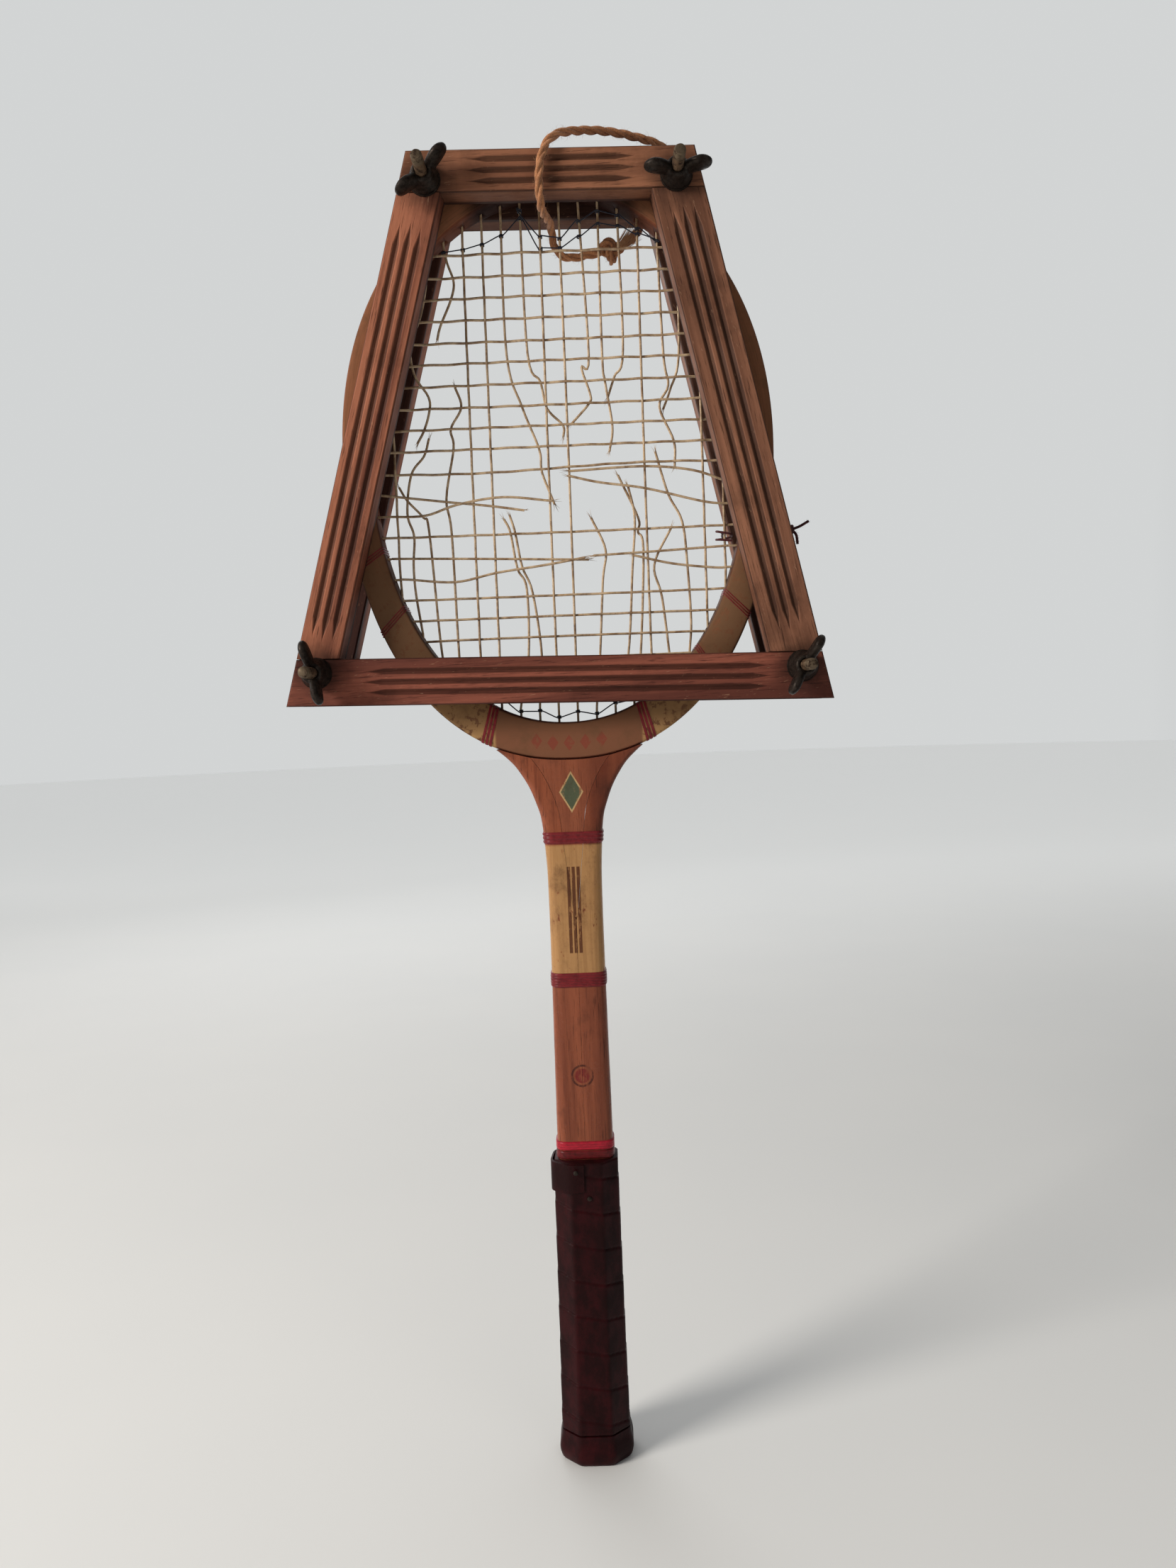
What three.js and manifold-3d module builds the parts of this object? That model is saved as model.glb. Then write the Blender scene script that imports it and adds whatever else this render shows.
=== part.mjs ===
// A wooden lawn-tennis racket clamped in a trapezoid wooden press, standing on its butt.
//
// Millimetres, +Z up along the handle, +X to the right across the head, -Y towards the face that
// carries the wing nuts. The origin is the centre of the flat butt end.

import * as THREE from 'three';
import { mergeVertices } from 'three/addons/utils/BufferGeometryUtils.js';
import { ConvexGeometry } from 'three/addons/geometries/ConvexGeometry.js';
import Module from 'manifold-3d';

const wasm = await Module();
wasm.setup();

// ---------------------------------------------------------------- driving dimensions

const GAP = 0.3; // clearance between touching pieces

// The bent hoop of the head: two superellipses about one centre.
const HEAD_CENTRE_Z = 545;
const HOOP_DEPTH = 18;
const OUTER = { halfWidth: 112.2, up: 141.5, down: 160.8, powerUp: 2.1, powerDown: 2.2 };
const INNER = { halfWidth: 98, up: 131, down: 141.2, powerUp: 2.1, powerDown: 2.1 };
const HOOP_STEPS = 60;
const GROOVE = { depth: 2.4, halfWidth: 2.05 }; // string groove round the outside of the hoop

// The strings: mains run up the head behind the crosses, both in the groove outside it.
const STRING_RADIUS = 0.65;
const HOLE_HALF = 1.1; // half the side of a string hole
const BEND_RADIUS = 1.0;
const MAIN = { count: 18, pitch: 10.1, y: 0.8 };
const CROSS = { count: 21, pitch: 11.05, topZ: 648, y: -0.8 };
const LOOP_DEPTH = 1.25; // the string's centre under the hoop's outer face

// Throat and shaft: half width at each height, up the racket.
const SHAFT_LEVELS = [
  [2.6, 14.6], [60, 14.8], [178, 15.1], [265, 14.5], [321, 14.5], [340, 15.4], [347, 15.9],
  [355, 17], [361, 18.8], [369, 21.8], [376, 25.6], [383, 30.6], [391, 39.2], [397, 46],
];
const SHAFT_DEPTH = 18;
const SHAFT_BEVEL = 3.2;
const WEDGE_LEVELS = [[300, 0.8], [344, 5.6], [356, 6.9], [366, 9.8], [377, 14.8], [386, 21], [396, 30]];

// Handle: the leather's half width at each height; the section is an octagon.
const GRIP_TOP = 168;
const BAND_TOP = 16.5;
const GRIP_LEVELS = [[BAND_TOP + GAP, 18.6], [26, 18.6], [70, 18.1], [141, 17.6], [GRIP_TOP, 17.4]];
const BUTT_LEVELS = [[0, 18.2], [1, 19.1], [2.6, 19.8], [6, 20.4], [10, 20], [13.5, 19.2], [BAND_TOP, 18.9]];
const BUTT_END = 2.3; // thickness of the cap's end
const GRIP_ASPECT = 0.88; // depth over width
const GRIP_FLAT = 0.47; // the share of each side that is flat
const LEATHER = 1.7;
const END_TURN_LIFT = 2; // the loosened last turn of the strip stands this far off the grip

// The press: two trapezoid frames, one in front of the hoop and one behind it.
const PRESS = {
  centreX: -0.6, centreZ: 551.8, halfHeight: 137.6, halfTop: 71.95, halfBottom: 140.5,
  thickness: 16, topBar: 20.5, bottomBar: 24, leftBar: 21.5, rightBar: 26,
  turn: THREE.MathUtils.degToRad(1.27),
};
const PRESS_INNER_Y = HOOP_DEPTH / 2 + GAP;
const PRESS_OUTER_Y = PRESS_INNER_Y + PRESS.thickness;
const PRESS_UNDERSIDE = PRESS.centreZ - PRESS.halfHeight;
const FLUTE = { width: 3.8, depth: 1.3, point: 11, pitch: 5.3 };
const FLUTE_ENDS = { top: [-44, 45], bottom: [-102, 110], left: [-105, 103], right: [-103, 109] };
const BOLT = { radius: 3, headRadius: 7, headHeight: 3.4, reach: 28 };
const BOLT_PLACES = {
  top_left: [-62.7, 122.8, 40], top_right: [62.7, 122.8, 0],
  bottom_left: [-124.3, -120.8, 102], bottom_right: [124.3, -120.8, 58],
}; // x and z from the middle of the press, and the angle that its wings stand at
const WASHER = { radius: 8.2, bore: 3.5, thickness: 1.2 };
const NUT = { foot: 7.6, waist: 5.2, height: 9.4, bore: 3.35 };
const LOBE = {
  reach: 10.2, forward: 9.6, halfLong: 7.2, halfWide: 5.8, lean: 0.61, thickness: 5.2, bevel: 1,
}; // one wing of the nut

// Cords.
const ROPE_RADIUS = 2.2;
const TIE_RADIUS = 0.6;
const THREAD_RADIUS = 0.4;

// ---------------------------------------------------------------- materials

function finish(colour, roughness, metalness = 0) {
  return new THREE.MeshStandardMaterial({ color: colour, roughness, metalness });
}

const MATERIALS = {
  hoopWood: finish('#8a5a3c', 0.45),
  shaftWood: finish('#b98457', 0.42),
  pressWood: finish('#7d4a33', 0.6),
  palletWood: finish('#b08a60', 0.7),
  leather: finish('#3f1a1c', 0.45),
  redBinding: finish('#8c1f2a', 0.4),
  gut: finish('#8f775a', 0.5),
  thread: finish('#20222c', 0.7),
  rope: finish('#96744f', 0.9),
  redCord: finish('#3d1a1c', 0.8),
  castIron: finish('#1f1b18', 0.5, 0.6),
  brass: finish('#6d5d3c', 0.45, 0.8),
};

// ---------------------------------------------------------------- meshes and solids

function toSolid(geometry) {
  const bare = geometry.index ? geometry.clone() : geometry;
  bare.deleteAttribute('normal');
  bare.deleteAttribute('uv');
  const merged = mergeVertices(bare, 1e-4);
  return new wasm.Manifold(new wasm.Mesh({
    numProp: 3,
    vertProperties: new Float32Array(merged.attributes.position.array),
    triVerts: new Uint32Array(merged.index.array),
  }));
}

function toGeometry(solid) {
  const mesh = solid.getMesh();
  const geometry = new THREE.BufferGeometry();
  geometry.setAttribute('position', new THREE.BufferAttribute(new Float32Array(mesh.vertProperties), 3));
  geometry.setIndex(new THREE.BufferAttribute(new Uint32Array(mesh.triVerts), 1));
  return geometry;
}

function cut(geometry, cutters) {
  const solid = cutters.reduce((rest, cutter) => rest.subtract(toSolid(cutter)), toSolid(geometry));
  return toGeometry(solid);
}

function common(geometry, other) {
  return toGeometry(toSolid(geometry).intersect(toSolid(other)));
}

function joined(geometries) {
  const [first, ...others] = geometries.map((geometry) => toSolid(geometry));
  return toGeometry(others.reduce((sum, next) => sum.add(next), first));
}

// A closed skin over rings of points; the ends are capped unless the rings go round.
function skin(rings, goesRound) {
  const size = rings[0].length;
  const positions = rings.flat().flatMap((point) => point.toArray());
  const index = [];
  const spans = goesRound ? rings.length : rings.length - 1;
  for (let ring = 0; ring < spans; ring += 1) {
    const next = (ring + 1) % rings.length;
    for (let k = 0; k < size; k += 1) {
      const a = ring * size + k;
      const b = ring * size + ((k + 1) % size);
      const c = next * size + k;
      const d = next * size + ((k + 1) % size);
      index.push(a, b, d, a, d, c);
    }
  }
  if (!goesRound) {
    const last = (rings.length - 1) * size;
    for (let k = 1; k < size - 1; k += 1) {
      index.push(0, k + 1, k, last, last + k, last + k + 1);
    }
  }
  const geometry = new THREE.BufferGeometry();
  geometry.setAttribute('position', new THREE.Float32BufferAttribute(positions, 3));
  geometry.setIndex(signedVolume(positions, index) < 0 ? flipped(index) : index);
  return geometry;
}

function signedVolume(positions, index) {
  const corner = (i) => new THREE.Vector3().fromArray(positions, 3 * index[i]);
  let volume = 0;
  for (let i = 0; i < index.length; i += 3) {
    volume += corner(i).dot(corner(i + 1).cross(corner(i + 2)));
  }
  return volume;
}

function flipped(index) {
  const turned = [];
  for (let i = 0; i < index.length; i += 3) {
    turned.push(index[i], index[i + 2], index[i + 1]);
  }
  return turned;
}

// A flat outline in X and Z, given thickness along Y from yLow to yHigh.
function slab(outline, yLow, yHigh, bevel = 0) {
  const shape = new THREE.Shape(outline.map(([x, z]) => new THREE.Vector2(x, -z)));
  const geometry = new THREE.ExtrudeGeometry(shape, {
    depth: yHigh - yLow - 2 * bevel,
    bevelEnabled: bevel > 0,
    bevelSize: bevel,
    bevelThickness: bevel,
    bevelOffset: -bevel,
    bevelSegments: 1,
    curveSegments: 6,
  });
  // The shape's own Y is -Z here, so that this turn stands it up with its thickness along Y.
  geometry.rotateX(-Math.PI / 2);
  return geometry.translate(0, yLow + bevel, 0);
}

// A round rod along Y, as a lathe turned onto that axis.
function turned(profile, segments) {
  const points = profile.map(([radius, y]) => new THREE.Vector2(radius, y));
  return new THREE.LatheGeometry(points, segments);
}

// ---------------------------------------------------------------- cords

// A curve whose nth step is its nth point, so that a tube keeps every bend where it is given.
class Route extends THREE.Curve {
  constructor(points) {
    super();
    this.points = points;
  }

  getPointAt(u) {
    return this.points[Math.round(u * (this.points.length - 1))].clone();
  }

  getTangentAt(u) {
    const i = Math.round(u * (this.points.length - 1));
    const along = new THREE.Vector3();
    if (i > 0) along.add(this.points[i].clone().sub(this.points[i - 1]).normalize());
    if (i < this.points.length - 1) along.add(this.points[i + 1].clone().sub(this.points[i]).normalize());
    return along.normalize();
  }
}

function cordAlong(points, radius) {
  const section = new THREE.Shape();
  for (let k = 0; k < 8; k += 1) {
    const angle = (k * Math.PI) / 4;
    const corner = [radius * Math.cos(angle), radius * Math.sin(angle)];
    if (k === 0) section.moveTo(...corner);
    else section.lineTo(...corner);
  }
  return new THREE.ExtrudeGeometry(section, {
    steps: points.length - 1,
    extrudePath: new Route(points),
    bevelEnabled: false,
  });
}

// The same points with every sharp corner replaced by a short arc.
function rounded(points, radius) {
  const route = [points[0]];
  for (let i = 1; i < points.length - 1; i += 1) {
    const back = points[i - 1].clone().sub(points[i]).normalize();
    const ahead = points[i + 1].clone().sub(points[i]).normalize();
    const inside = back.angleTo(ahead);
    const turn = Math.PI - inside;
    if (turn < 0.5) {
      route.push(points[i]);
    } else {
      const bisector = back.clone().add(ahead).normalize();
      const centre = points[i].clone().addScaledVector(bisector, radius / Math.sin(inside / 2));
      const start = points[i].clone().addScaledVector(back, radius / Math.tan(inside / 2)).sub(centre);
      const axis = back.clone().cross(ahead).normalize().negate();
      const steps = Math.ceil(turn / 1.6);
      for (let k = 0; k <= steps; k += 1) {
        route.push(start.clone().applyAxisAngle(axis, (turn * k) / steps).add(centre));
      }
    }
  }
  route.push(points.at(-1));
  return route;
}

function smoothCord(points, radius, steps) {
  const places = points.map((point) => new THREE.Vector3(...point));
  const curve = new THREE.CatmullRomCurve3(places, false, 'centripetal');
  return cordAlong(curve.getSpacedPoints(steps), radius);
}

// ---------------------------------------------------------------- the hoop

function edgePoint(edge, angle) {
  const cosine = Math.cos(angle);
  const sine = Math.sin(angle);
  const reach = sine >= 0 ? edge.up : edge.down;
  const power = 2 / (sine >= 0 ? edge.powerUp : edge.powerDown);
  return new THREE.Vector3(
    edge.halfWidth * Math.sign(cosine) * Math.abs(cosine) ** power,
    0,
    HEAD_CENTRE_Z + reach * Math.sign(sine) * Math.abs(sine) ** power,
  );
}

// The height of an edge above or below the head's centre line at x, and its half width at z.
function edgeZ(edge, x, side) {
  const power = side > 0 ? edge.powerUp : edge.powerDown;
  const reach = side > 0 ? edge.up : edge.down;
  return HEAD_CENTRE_Z + side * reach * (1 - (Math.abs(x) / edge.halfWidth) ** power) ** (1 / power);
}

function edgeX(edge, z) {
  const up = z >= HEAD_CENTRE_Z;
  const power = up ? edge.powerUp : edge.powerDown;
  const reach = up ? edge.up : edge.down;
  return edge.halfWidth * (1 - (Math.abs(z - HEAD_CENTRE_Z) / reach) ** power) ** (1 / power);
}

// A stretch of the hoop's section, carried from one angle to another. The section is a list of
// points: how far out from the inner or the outer face, and y.
function hoopSweep(section, from, to, steps) {
  const whole = to - from > 6.28;
  const rings = [];
  for (let i = 0; i < steps + (whole ? 0 : 1); i += 1) {
    const angle = from + ((to - from) * i) / steps;
    const inner = edgePoint(INNER, angle);
    const outer = edgePoint(OUTER, angle);
    const outward = outer.clone().sub(inner).normalize();
    rings.push(section.map(([face, distance, y]) => {
      const start = face === 'inner' ? inner : outer;
      return start.clone().addScaledVector(outward, distance).setY(y);
    }));
  }
  return skin(rings, whole);
}

function hoop() {
  const half = HOOP_DEPTH / 2;
  const body = hoopSweep([
    ['inner', 0, half - 1.4], ['inner', 0, -half + 1.4], ['inner', 1.2, -half], ['outer', -1.6, -half],
    ['outer', 0, -half + 1.8], ['outer', 0, -GROOVE.halfWidth], ['outer', -GROOVE.depth, -GROOVE.halfWidth],
    ['outer', -GROOVE.depth, GROOVE.halfWidth], ['outer', 0, GROOVE.halfWidth], ['outer', 0, half - 1.8],
    ['outer', -1.6, half], ['inner', 1.2, half],
  ], 0, 2 * Math.PI, HOOP_STEPS);
  return cut(body, [...mainHoles(), ...crossHoles()]);
}

function mainX(i) {
  return (i - (MAIN.count - 1) / 2) * MAIN.pitch;
}

function crossZ(j) {
  return CROSS.topZ - j * CROSS.pitch;
}

function hole(x, y, z, length, alongX) {
  const drill = new THREE.BoxGeometry(2 * HOLE_HALF, 2 * HOLE_HALF, length);
  if (alongX) drill.rotateY(Math.PI / 2);
  return drill.translate(x, y, z);
}

function mainHoles() {
  const holes = [];
  for (let i = 0; i < MAIN.count; i += 1) {
    for (const side of [1, -1]) {
      const inner = edgeZ(INNER, mainX(i), side) - 3 * side;
      const outer = edgeZ(OUTER, mainX(i), side) + 3 * side;
      holes.push(hole(mainX(i), MAIN.y, (inner + outer) / 2, Math.abs(outer - inner), false));
    }
  }
  return holes;
}

function crossHoles() {
  const holes = [];
  for (let j = 0; j < CROSS.count; j += 1) {
    const inner = edgeX(INNER, crossZ(j)) - 3;
    const outer = edgeX(OUTER, crossZ(j)) + 3;
    for (const side of [1, -1]) {
      holes.push(hole((side * (inner + outer)) / 2, CROSS.y, crossZ(j), outer - inner, true));
    }
  }
  return holes;
}

// ---------------------------------------------------------------- strings

// Where a main or a cross turns outside the hoop.
function loopEdge() {
  return {
    ...OUTER,
    halfWidth: OUTER.halfWidth - LOOP_DEPTH,
    up: OUTER.up - LOOP_DEPTH,
    down: OUTER.down - LOOP_DEPTH,
  };
}

function mainTurn(i, side) {
  return [mainX(i), MAIN.y, edgeZ(loopEdge(), mainX(i), side)];
}

function crossTurn(j, side) {
  return [side * edgeX(loopEdge(), crossZ(j)), CROSS.y, crossZ(j)];
}

// Where a broken main or cross comes out of its hole on the inside of the hoop.
function mainMouth(i, side) {
  return [mainX(i), MAIN.y, edgeZ(INNER, mainX(i), side) - 1.5 * side];
}

function crossMouth(j, side) {
  return [side * (edgeX(INNER, crossZ(j)) - 1.5), CROSS.y, crossZ(j)];
}

// Broken strings hang out of line: each list goes from near the hoop to the frayed end.
const BACK = 2.7;
const STRAY_MAINS = {
  '1up': [[-75, 0.8, 593], [-67, 0.8, 577], [-67, 0.8, 569], [-70, 0.8, 560], [-74, 0.8, 553]],
  '1down': [[-78.5, 0.8, 475], [-79, 0.8, 490], [-78, 0.8, 505], [-81, 0.8, 517], [-78, 0.8, 537],
    [-71, BACK, 547], [-68, BACK, 556]],
  '2up': [[-66, 0.8, 632], [-71, 0.8, 614], [-80, 0.8, 602]],
  '2down': [[-67, 0.8, 455], [-70, 0.8, 508], [-73, BACK, 515], [-81, BACK, 524], [-85, BACK, 531]],
  '3up': [[-54, 0.8, 645], [-51, 0.8, 635], [-53, 0.8, 626], [-59, 0.8, 613], [-61, 0.8, 606]],
  '3down': [[-57, 0.8, 441], [-58, 0.8, 505], [-60, 0.8, 524], [-55, 0.8, 550], [-56, 0.8, 560],
    [-50, 0.8, 571], [-53, 0.8, 582]],
  '6up': [[-25, 0.8, 597], [-18, BACK, 570], [-10, BACK, 548], [-9, BACK, 536], [-3, BACK, 519]],
  '6down': [[-25, 0.8, 414], [-20, 0.8, 440], [-19.5, 0.8, 475], [-24, 0.8, 486], [-27, 0.8, 505],
    [-30, 0.8, 512]],
  '7up': [[-14, 0.8, 597], [-8, BACK, 583], [-5, BACK, 569], [3, BACK, 560], [3, BACK, 554]],
  '7down': [[-15, 0.8, 414], [-13, 0.8, 440], [-16.5, 0.8, 473], [-21.5, 0.8, 487], [-24.5, 0.8, 505],
    [-27, 0.8, 514]],
  '10up': [[18, 0.8, 595], [14, 0.8, 589], [18, 0.8, 575], [17, 0.8, 570], [7.5, 0.8, 560]],
  '10down': [[15.5, 0.8, 414], [18, 0.8, 438], [21, 0.8, 478], [23, 0.8, 494], [16, 0.8, 511]],
  '11up': [[25, 0.8, 595], [26, 0.8, 581], [29, 0.8, 558], [27, 0.8, 545]],
  '11down': [[26, 0.8, 415], [33, 0.8, 438], [37, 0.8, 485], [39, 0.8, 510], [36, 0.8, 527]],
  '12up': [[36, 0.8, 597], [31, BACK, 584], [27, BACK, 573]],
  '12down': [[39.5, 0.8, 437], [43, 0.8, 493], [40.5, BACK, 503], [41, BACK, 510], [31, BACK, 533]],
  '14up': [[57, 0.8, 594], [59, 0.8, 578], [54, 0.8, 567], [61, 0.8, 549], [61, 0.8, 536]],
  '14down': [[55, 0.8, 437], [52, 0.8, 468], [48.5, 0.8, 485], [58, 0.8, 504]],
  '15up': [[65, 0.8, 593], [60, BACK, 576], [56, BACK, 566]],
  '15down': [[66.5, 0.8, 455], [66, 0.8, 484], [64, 0.8, 507], [57, 0.8, 522], [51, 0.8, 544]],
};
const STRAY_CROSSES = {
  '11left': [[-92, -0.8, 526.4], [-60, -0.8, 522], [-37, -0.8, 519], [-19, -0.8, 516]],
  '12left': [[-90, -0.8, 515.4], [-71, -BACK, 515], [-54, -BACK, 520], [-30, -BACK, 523], [-4, -BACK, 520]],
  '11right': [[88, -0.8, 527], [70, -BACK, 533], [44, -BACK, 536], [5, -BACK, 535]],
  '12right': [[88, -0.8, 515.4], [75, -0.8, 517], [45, -0.8, 525], [21, -0.8, 529], [5, -0.8, 533]],
  '14left': [[-85, -0.8, 493.3], [-40, -0.8, 491.5], [14, -0.8, 489]],
  '14right': [[85, -0.8, 493.3], [50, -0.8, 492], [16.5, -0.8, 491]],
  '15left': [[-82, -0.8, 482.3], [-57, -0.8, 480], [-35, -0.8, 484], [-8, -BACK, 487], [12, -BACK, 490]],
  '15right': [[80, -0.8, 482.3], [58, -BACK, 485], [38, -BACK, 490]],
};

// Each unbroken length of string, from one free end to the other.
const MAIN_LENGTHS = [
  { from: 0, to: 1, end: 'down' },
  { from: 1, start: 'up', to: 2, end: 'up' },
  { from: 2, start: 'down', to: 3, end: 'down' },
  { from: 3, start: 'up', to: 6, end: 'up' },
  { from: 6, start: 'down', to: 7, end: 'down' },
  { from: 7, start: 'up', to: 10, end: 'up' },
  { from: 10, start: 'down', to: 11, end: 'down' },
  { from: 11, start: 'up', to: 12, end: 'up' },
  { from: 12, start: 'down', to: 14, end: 'up' },
  { from: 14, start: 'down', to: 15, end: 'down' },
  { from: 15, start: 'up', to: 17 },
];
const CROSS_LENGTHS = [
  { from: 0, to: 11, end: 'right' },
  { from: 11, start: 'left', to: 12, end: 'left' },
  { from: 12, start: 'right', to: 14, end: 'left' },
  { from: 14, start: 'right', to: 15, end: 'right' },
  { from: 15, start: 'left', to: 20 },
];

// One length: out of the frayed start, round the hoop at each turn, and into the frayed end.
// Turns alternate between the two sides of the hoop, and firstSide is the side of turn 0.
function stringLength({ from, start, to, end }, strays, turnPoint, mouth, firstSide) {
  const points = [];
  const sideAfter = (pass) => (pass % 2 === 0 ? firstSide : -firstSide);
  if (start) points.push(...strays[from + start].toReversed(), mouth(from, sideAfter(from)));
  else points.push(turnPoint(from, -sideAfter(from)));
  for (let pass = from; pass < to; pass += 1) {
    points.push(turnPoint(pass, sideAfter(pass)), turnPoint(pass + 1, sideAfter(pass)));
  }
  if (end) points.push(mouth(to, sideAfter(to - 1)), ...strays[to + end]);
  else points.push(turnPoint(to, -sideAfter(to - 1)));
  return rounded(points.map((point) => new THREE.Vector3(...point)), BEND_RADIUS);
}

function strings() {
  const group = new THREE.Group();
  MAIN_LENGTHS.forEach((length, n) => {
    const route = stringLength(length, STRAY_MAINS, mainTurn, mainMouth, -1);
    group.add(piece(`main_string_${n + 1}`, cordAlong(route, STRING_RADIUS), MATERIALS.gut));
  });
  CROSS_LENGTHS.forEach((length, n) => {
    const route = stringLength(length, STRAY_CROSSES, crossTurn, crossMouth, 1);
    group.add(piece(`cross_string_${n + 1}`, cordAlong(route, STRING_RADIUS), MATERIALS.gut));
  });
  return group;
}

// The thin trebling thread crosses from main to main. Each point is a main, a height and y: the
// upper thread has slipped, goes across in front of the mains and comes part of the way back.
const BACK_PASS = -1.9;
const UPPER_THREAD = [
  [3, 649.7, CROSS.y], [4, 650.8, CROSS.y], [5, 653, CROSS.y], [6, 657, CROSS.y], [7, 665, CROSS.y],
  [8, 649.8, CROSS.y], [9, 649.6, CROSS.y], [10, 655, CROSS.y], [11, 661, CROSS.y], [12, 659.5, CROSS.y],
  [13, 655, CROSS.y], [14, 651, CROSS.y], [13, 657.5, BACK_PASS], [12, 664.5, BACK_PASS],
  [11, 667, BACK_PASS], [10, 662.5, BACK_PASS], [9, 654.3, BACK_PASS], [8, 655.8, BACK_PASS],
  [7, 669, BACK_PASS],
];
const LOWER_THREAD = [5, 6, 7, 8, 9, 10, 11, 12].map((i) => [
  i, edgeZ(INNER, mainX(i), -1) + (i % 2 === 0 ? 2.4 : 5), CROSS.y,
]);

function trebling(name, places) {
  const points = places.map(([i, z, y]) => new THREE.Vector3(mainX(i), y, z));
  return piece(name, cordAlong(rounded(points, BEND_RADIUS), THREAD_RADIUS), MATERIALS.thread);
}

// ---------------------------------------------------------------- throat, shaft and handle

// Four corners cut off a rectangle, at one height.
function octagon(halfX, halfY, cutX, cutY, z) {
  return [
    [halfX - cutX, -halfY], [halfX, -halfY + cutY], [halfX, halfY - cutY], [halfX - cutX, halfY],
    [-halfX + cutX, halfY], [-halfX, halfY - cutY], [-halfX, -halfY + cutY], [-halfX + cutX, -halfY],
  ].map(([x, y]) => new THREE.Vector3(x, y, z));
}

function shaftBlank(grow = 0) {
  return skin(SHAFT_LEVELS.map(([z, halfWidth]) => octagon(
    halfWidth + grow, SHAFT_DEPTH / 2 + grow, SHAFT_BEVEL, SHAFT_BEVEL, z,
  )), false);
}

// The lower edge of the hoop as an outline, from one x to another, a gap below the wood.
function hoopUnderside(fromX, toX) {
  const points = [];
  const steps = 8;
  for (let k = 0; k <= steps; k += 1) {
    const x = fromX + ((toX - fromX) * k) / steps;
    points.push([x, edgeZ(OUTER, x, -1) - GAP]);
  }
  return points;
}

// Below the hoop, between one x and another: the wedge and the legs are cut to this.
function underHoop(fromX, toX) {
  const outline = [[fromX, 0], ...hoopUnderside(fromX, toX), [toX, 0]];
  return slab(outline, -20, 20);
}

function wedgeOutline(grow) {
  const right = WEDGE_LEVELS.map(([z, halfWidth]) => [halfWidth + grow, z]);
  const left = WEDGE_LEVELS.map(([z, halfWidth]) => [-halfWidth - grow, z]).toReversed();
  return [...right, ...left];
}

function throatWedge() {
  const blank = common(shaftBlank(), underHoop(-46, 46));
  return common(blank, slab(wedgeOutline(0), -20, 20));
}

// One lamination leg, from the hoop's shoulder down the throat, shaft and handle.
function shaftLeg(side) {
  const nearX = side > 0 ? GAP / 2 : -46;
  const farX = side > 0 ? 46 : -GAP / 2;
  const blank = common(shaftBlank(), underHoop(-46, 46));
  const halfBlank = common(blank, slab([[nearX, 0], [nearX, 400], [farX, 400], [farX, 0]], -20, 20));
  return cut(halfBlank, [slab(wedgeOutline(GAP), -20, 20)]);
}

function handleBlank(levels, grow) {
  return skin(levels.map(([z, halfWidth]) => {
    const halfX = halfWidth + grow;
    const halfY = halfWidth * GRIP_ASPECT + grow;
    return octagon(halfX, halfY, halfX * (1 - GRIP_FLAT), halfY * (1 - GRIP_FLAT), z);
  }), false);
}

function box(x0, x1, y0, y1, z0, z1) {
  const block = new THREE.BoxGeometry(x1 - x0, y1 - y0, z1 - z0);
  return block.translate((x0 + x1) / 2, (y0 + y1) / 2, (z0 + z1) / 2);
}

// The pallets that build the flat shaft up to the handle's octagon, front and back.
function pallet(side) {
  const levels = [[2.6, 18.6], [26, 18.6], [70, 18.1], [141, 17.6], [GRIP_TOP - 2, 17.4]];
  const blank = handleBlank(levels, -LEATHER - GAP);
  const inner = SHAFT_DEPTH / 2 + GAP;
  const half = side < 0 ? box(-20, 20, -20, -inner, 0, 200) : box(-20, 20, inner, 20, 0, 200);
  return common(blank, half);
}

function leatherGrip() {
  const bore = [[0, 18.6], [26, 18.6], [70, 18.1], [141, 17.6], [200, 17.3]];
  return cut(handleBlank(GRIP_LEVELS, 0), [handleBlank(bore, -LEATHER)]);
}

// The leather cap over the butt: a flared band with a closed, flat end.
function buttCap() {
  return cut(handleBlank(BUTT_LEVELS, 0), [handleBlank([[BUTT_END, 18.6], [30, 18.6]], -LEATHER)]);
}

// The last turn of the leather strip, its end lifted off the left side of the handle.
function gripEndTurn() {
  const levels = [[150, 17.6], [GRIP_TOP, 17.4]];
  const turn = cut(handleBlank(levels, END_TURN_LIFT), [handleBlank([[140, 17.6], [180, 17.4]], GAP)]);
  return common(turn, slab([[-30, 151], [-30, 168], [-4, 168], [0, 152.5], [-4, 151]], -30, 30));
}

function shaftBinding(fromZ, toZ) {
  const sleeve = common(shaftBlank(GAP + 0.5), box(-40, 40, -40, 40, fromZ, toZ));
  return cut(sleeve, [shaftBlank(GAP)]);
}

// A binding wound round the hoop beside the throat. It stops short of the press.
function hoopBinding(side) {
  const middle = -Math.PI / 2 + side * 0.392;
  const half = HOOP_DEPTH / 2;
  const sleeve = (grow, spread, steps) => hoopSweep([
    ['inner', -grow, half + grow], ['inner', -grow, -half - grow],
    ['outer', grow, -half - grow], ['outer', grow, half + grow],
  ], middle - spread, middle + spread, steps);
  const ring = cut(sleeve(GAP + 0.4, 0.024, 2), [sleeve(GAP, 0.05, 4)]);
  return common(ring, box(-60, 60, -20, 20, 380, PRESS_UNDERSIDE - 2));
}

function tack(x, z, lift) {
  const halfY = 17.5 * GRIP_ASPECT + lift;
  const dome = turned([[0, 0], [1.4, 0], [1.2, -0.5], [0.6, -0.8], [0, -0.9]].toReversed(), 10);
  return dome.translate(x, -halfY - GAP, z);
}

// ---------------------------------------------------------------- the press

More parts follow.
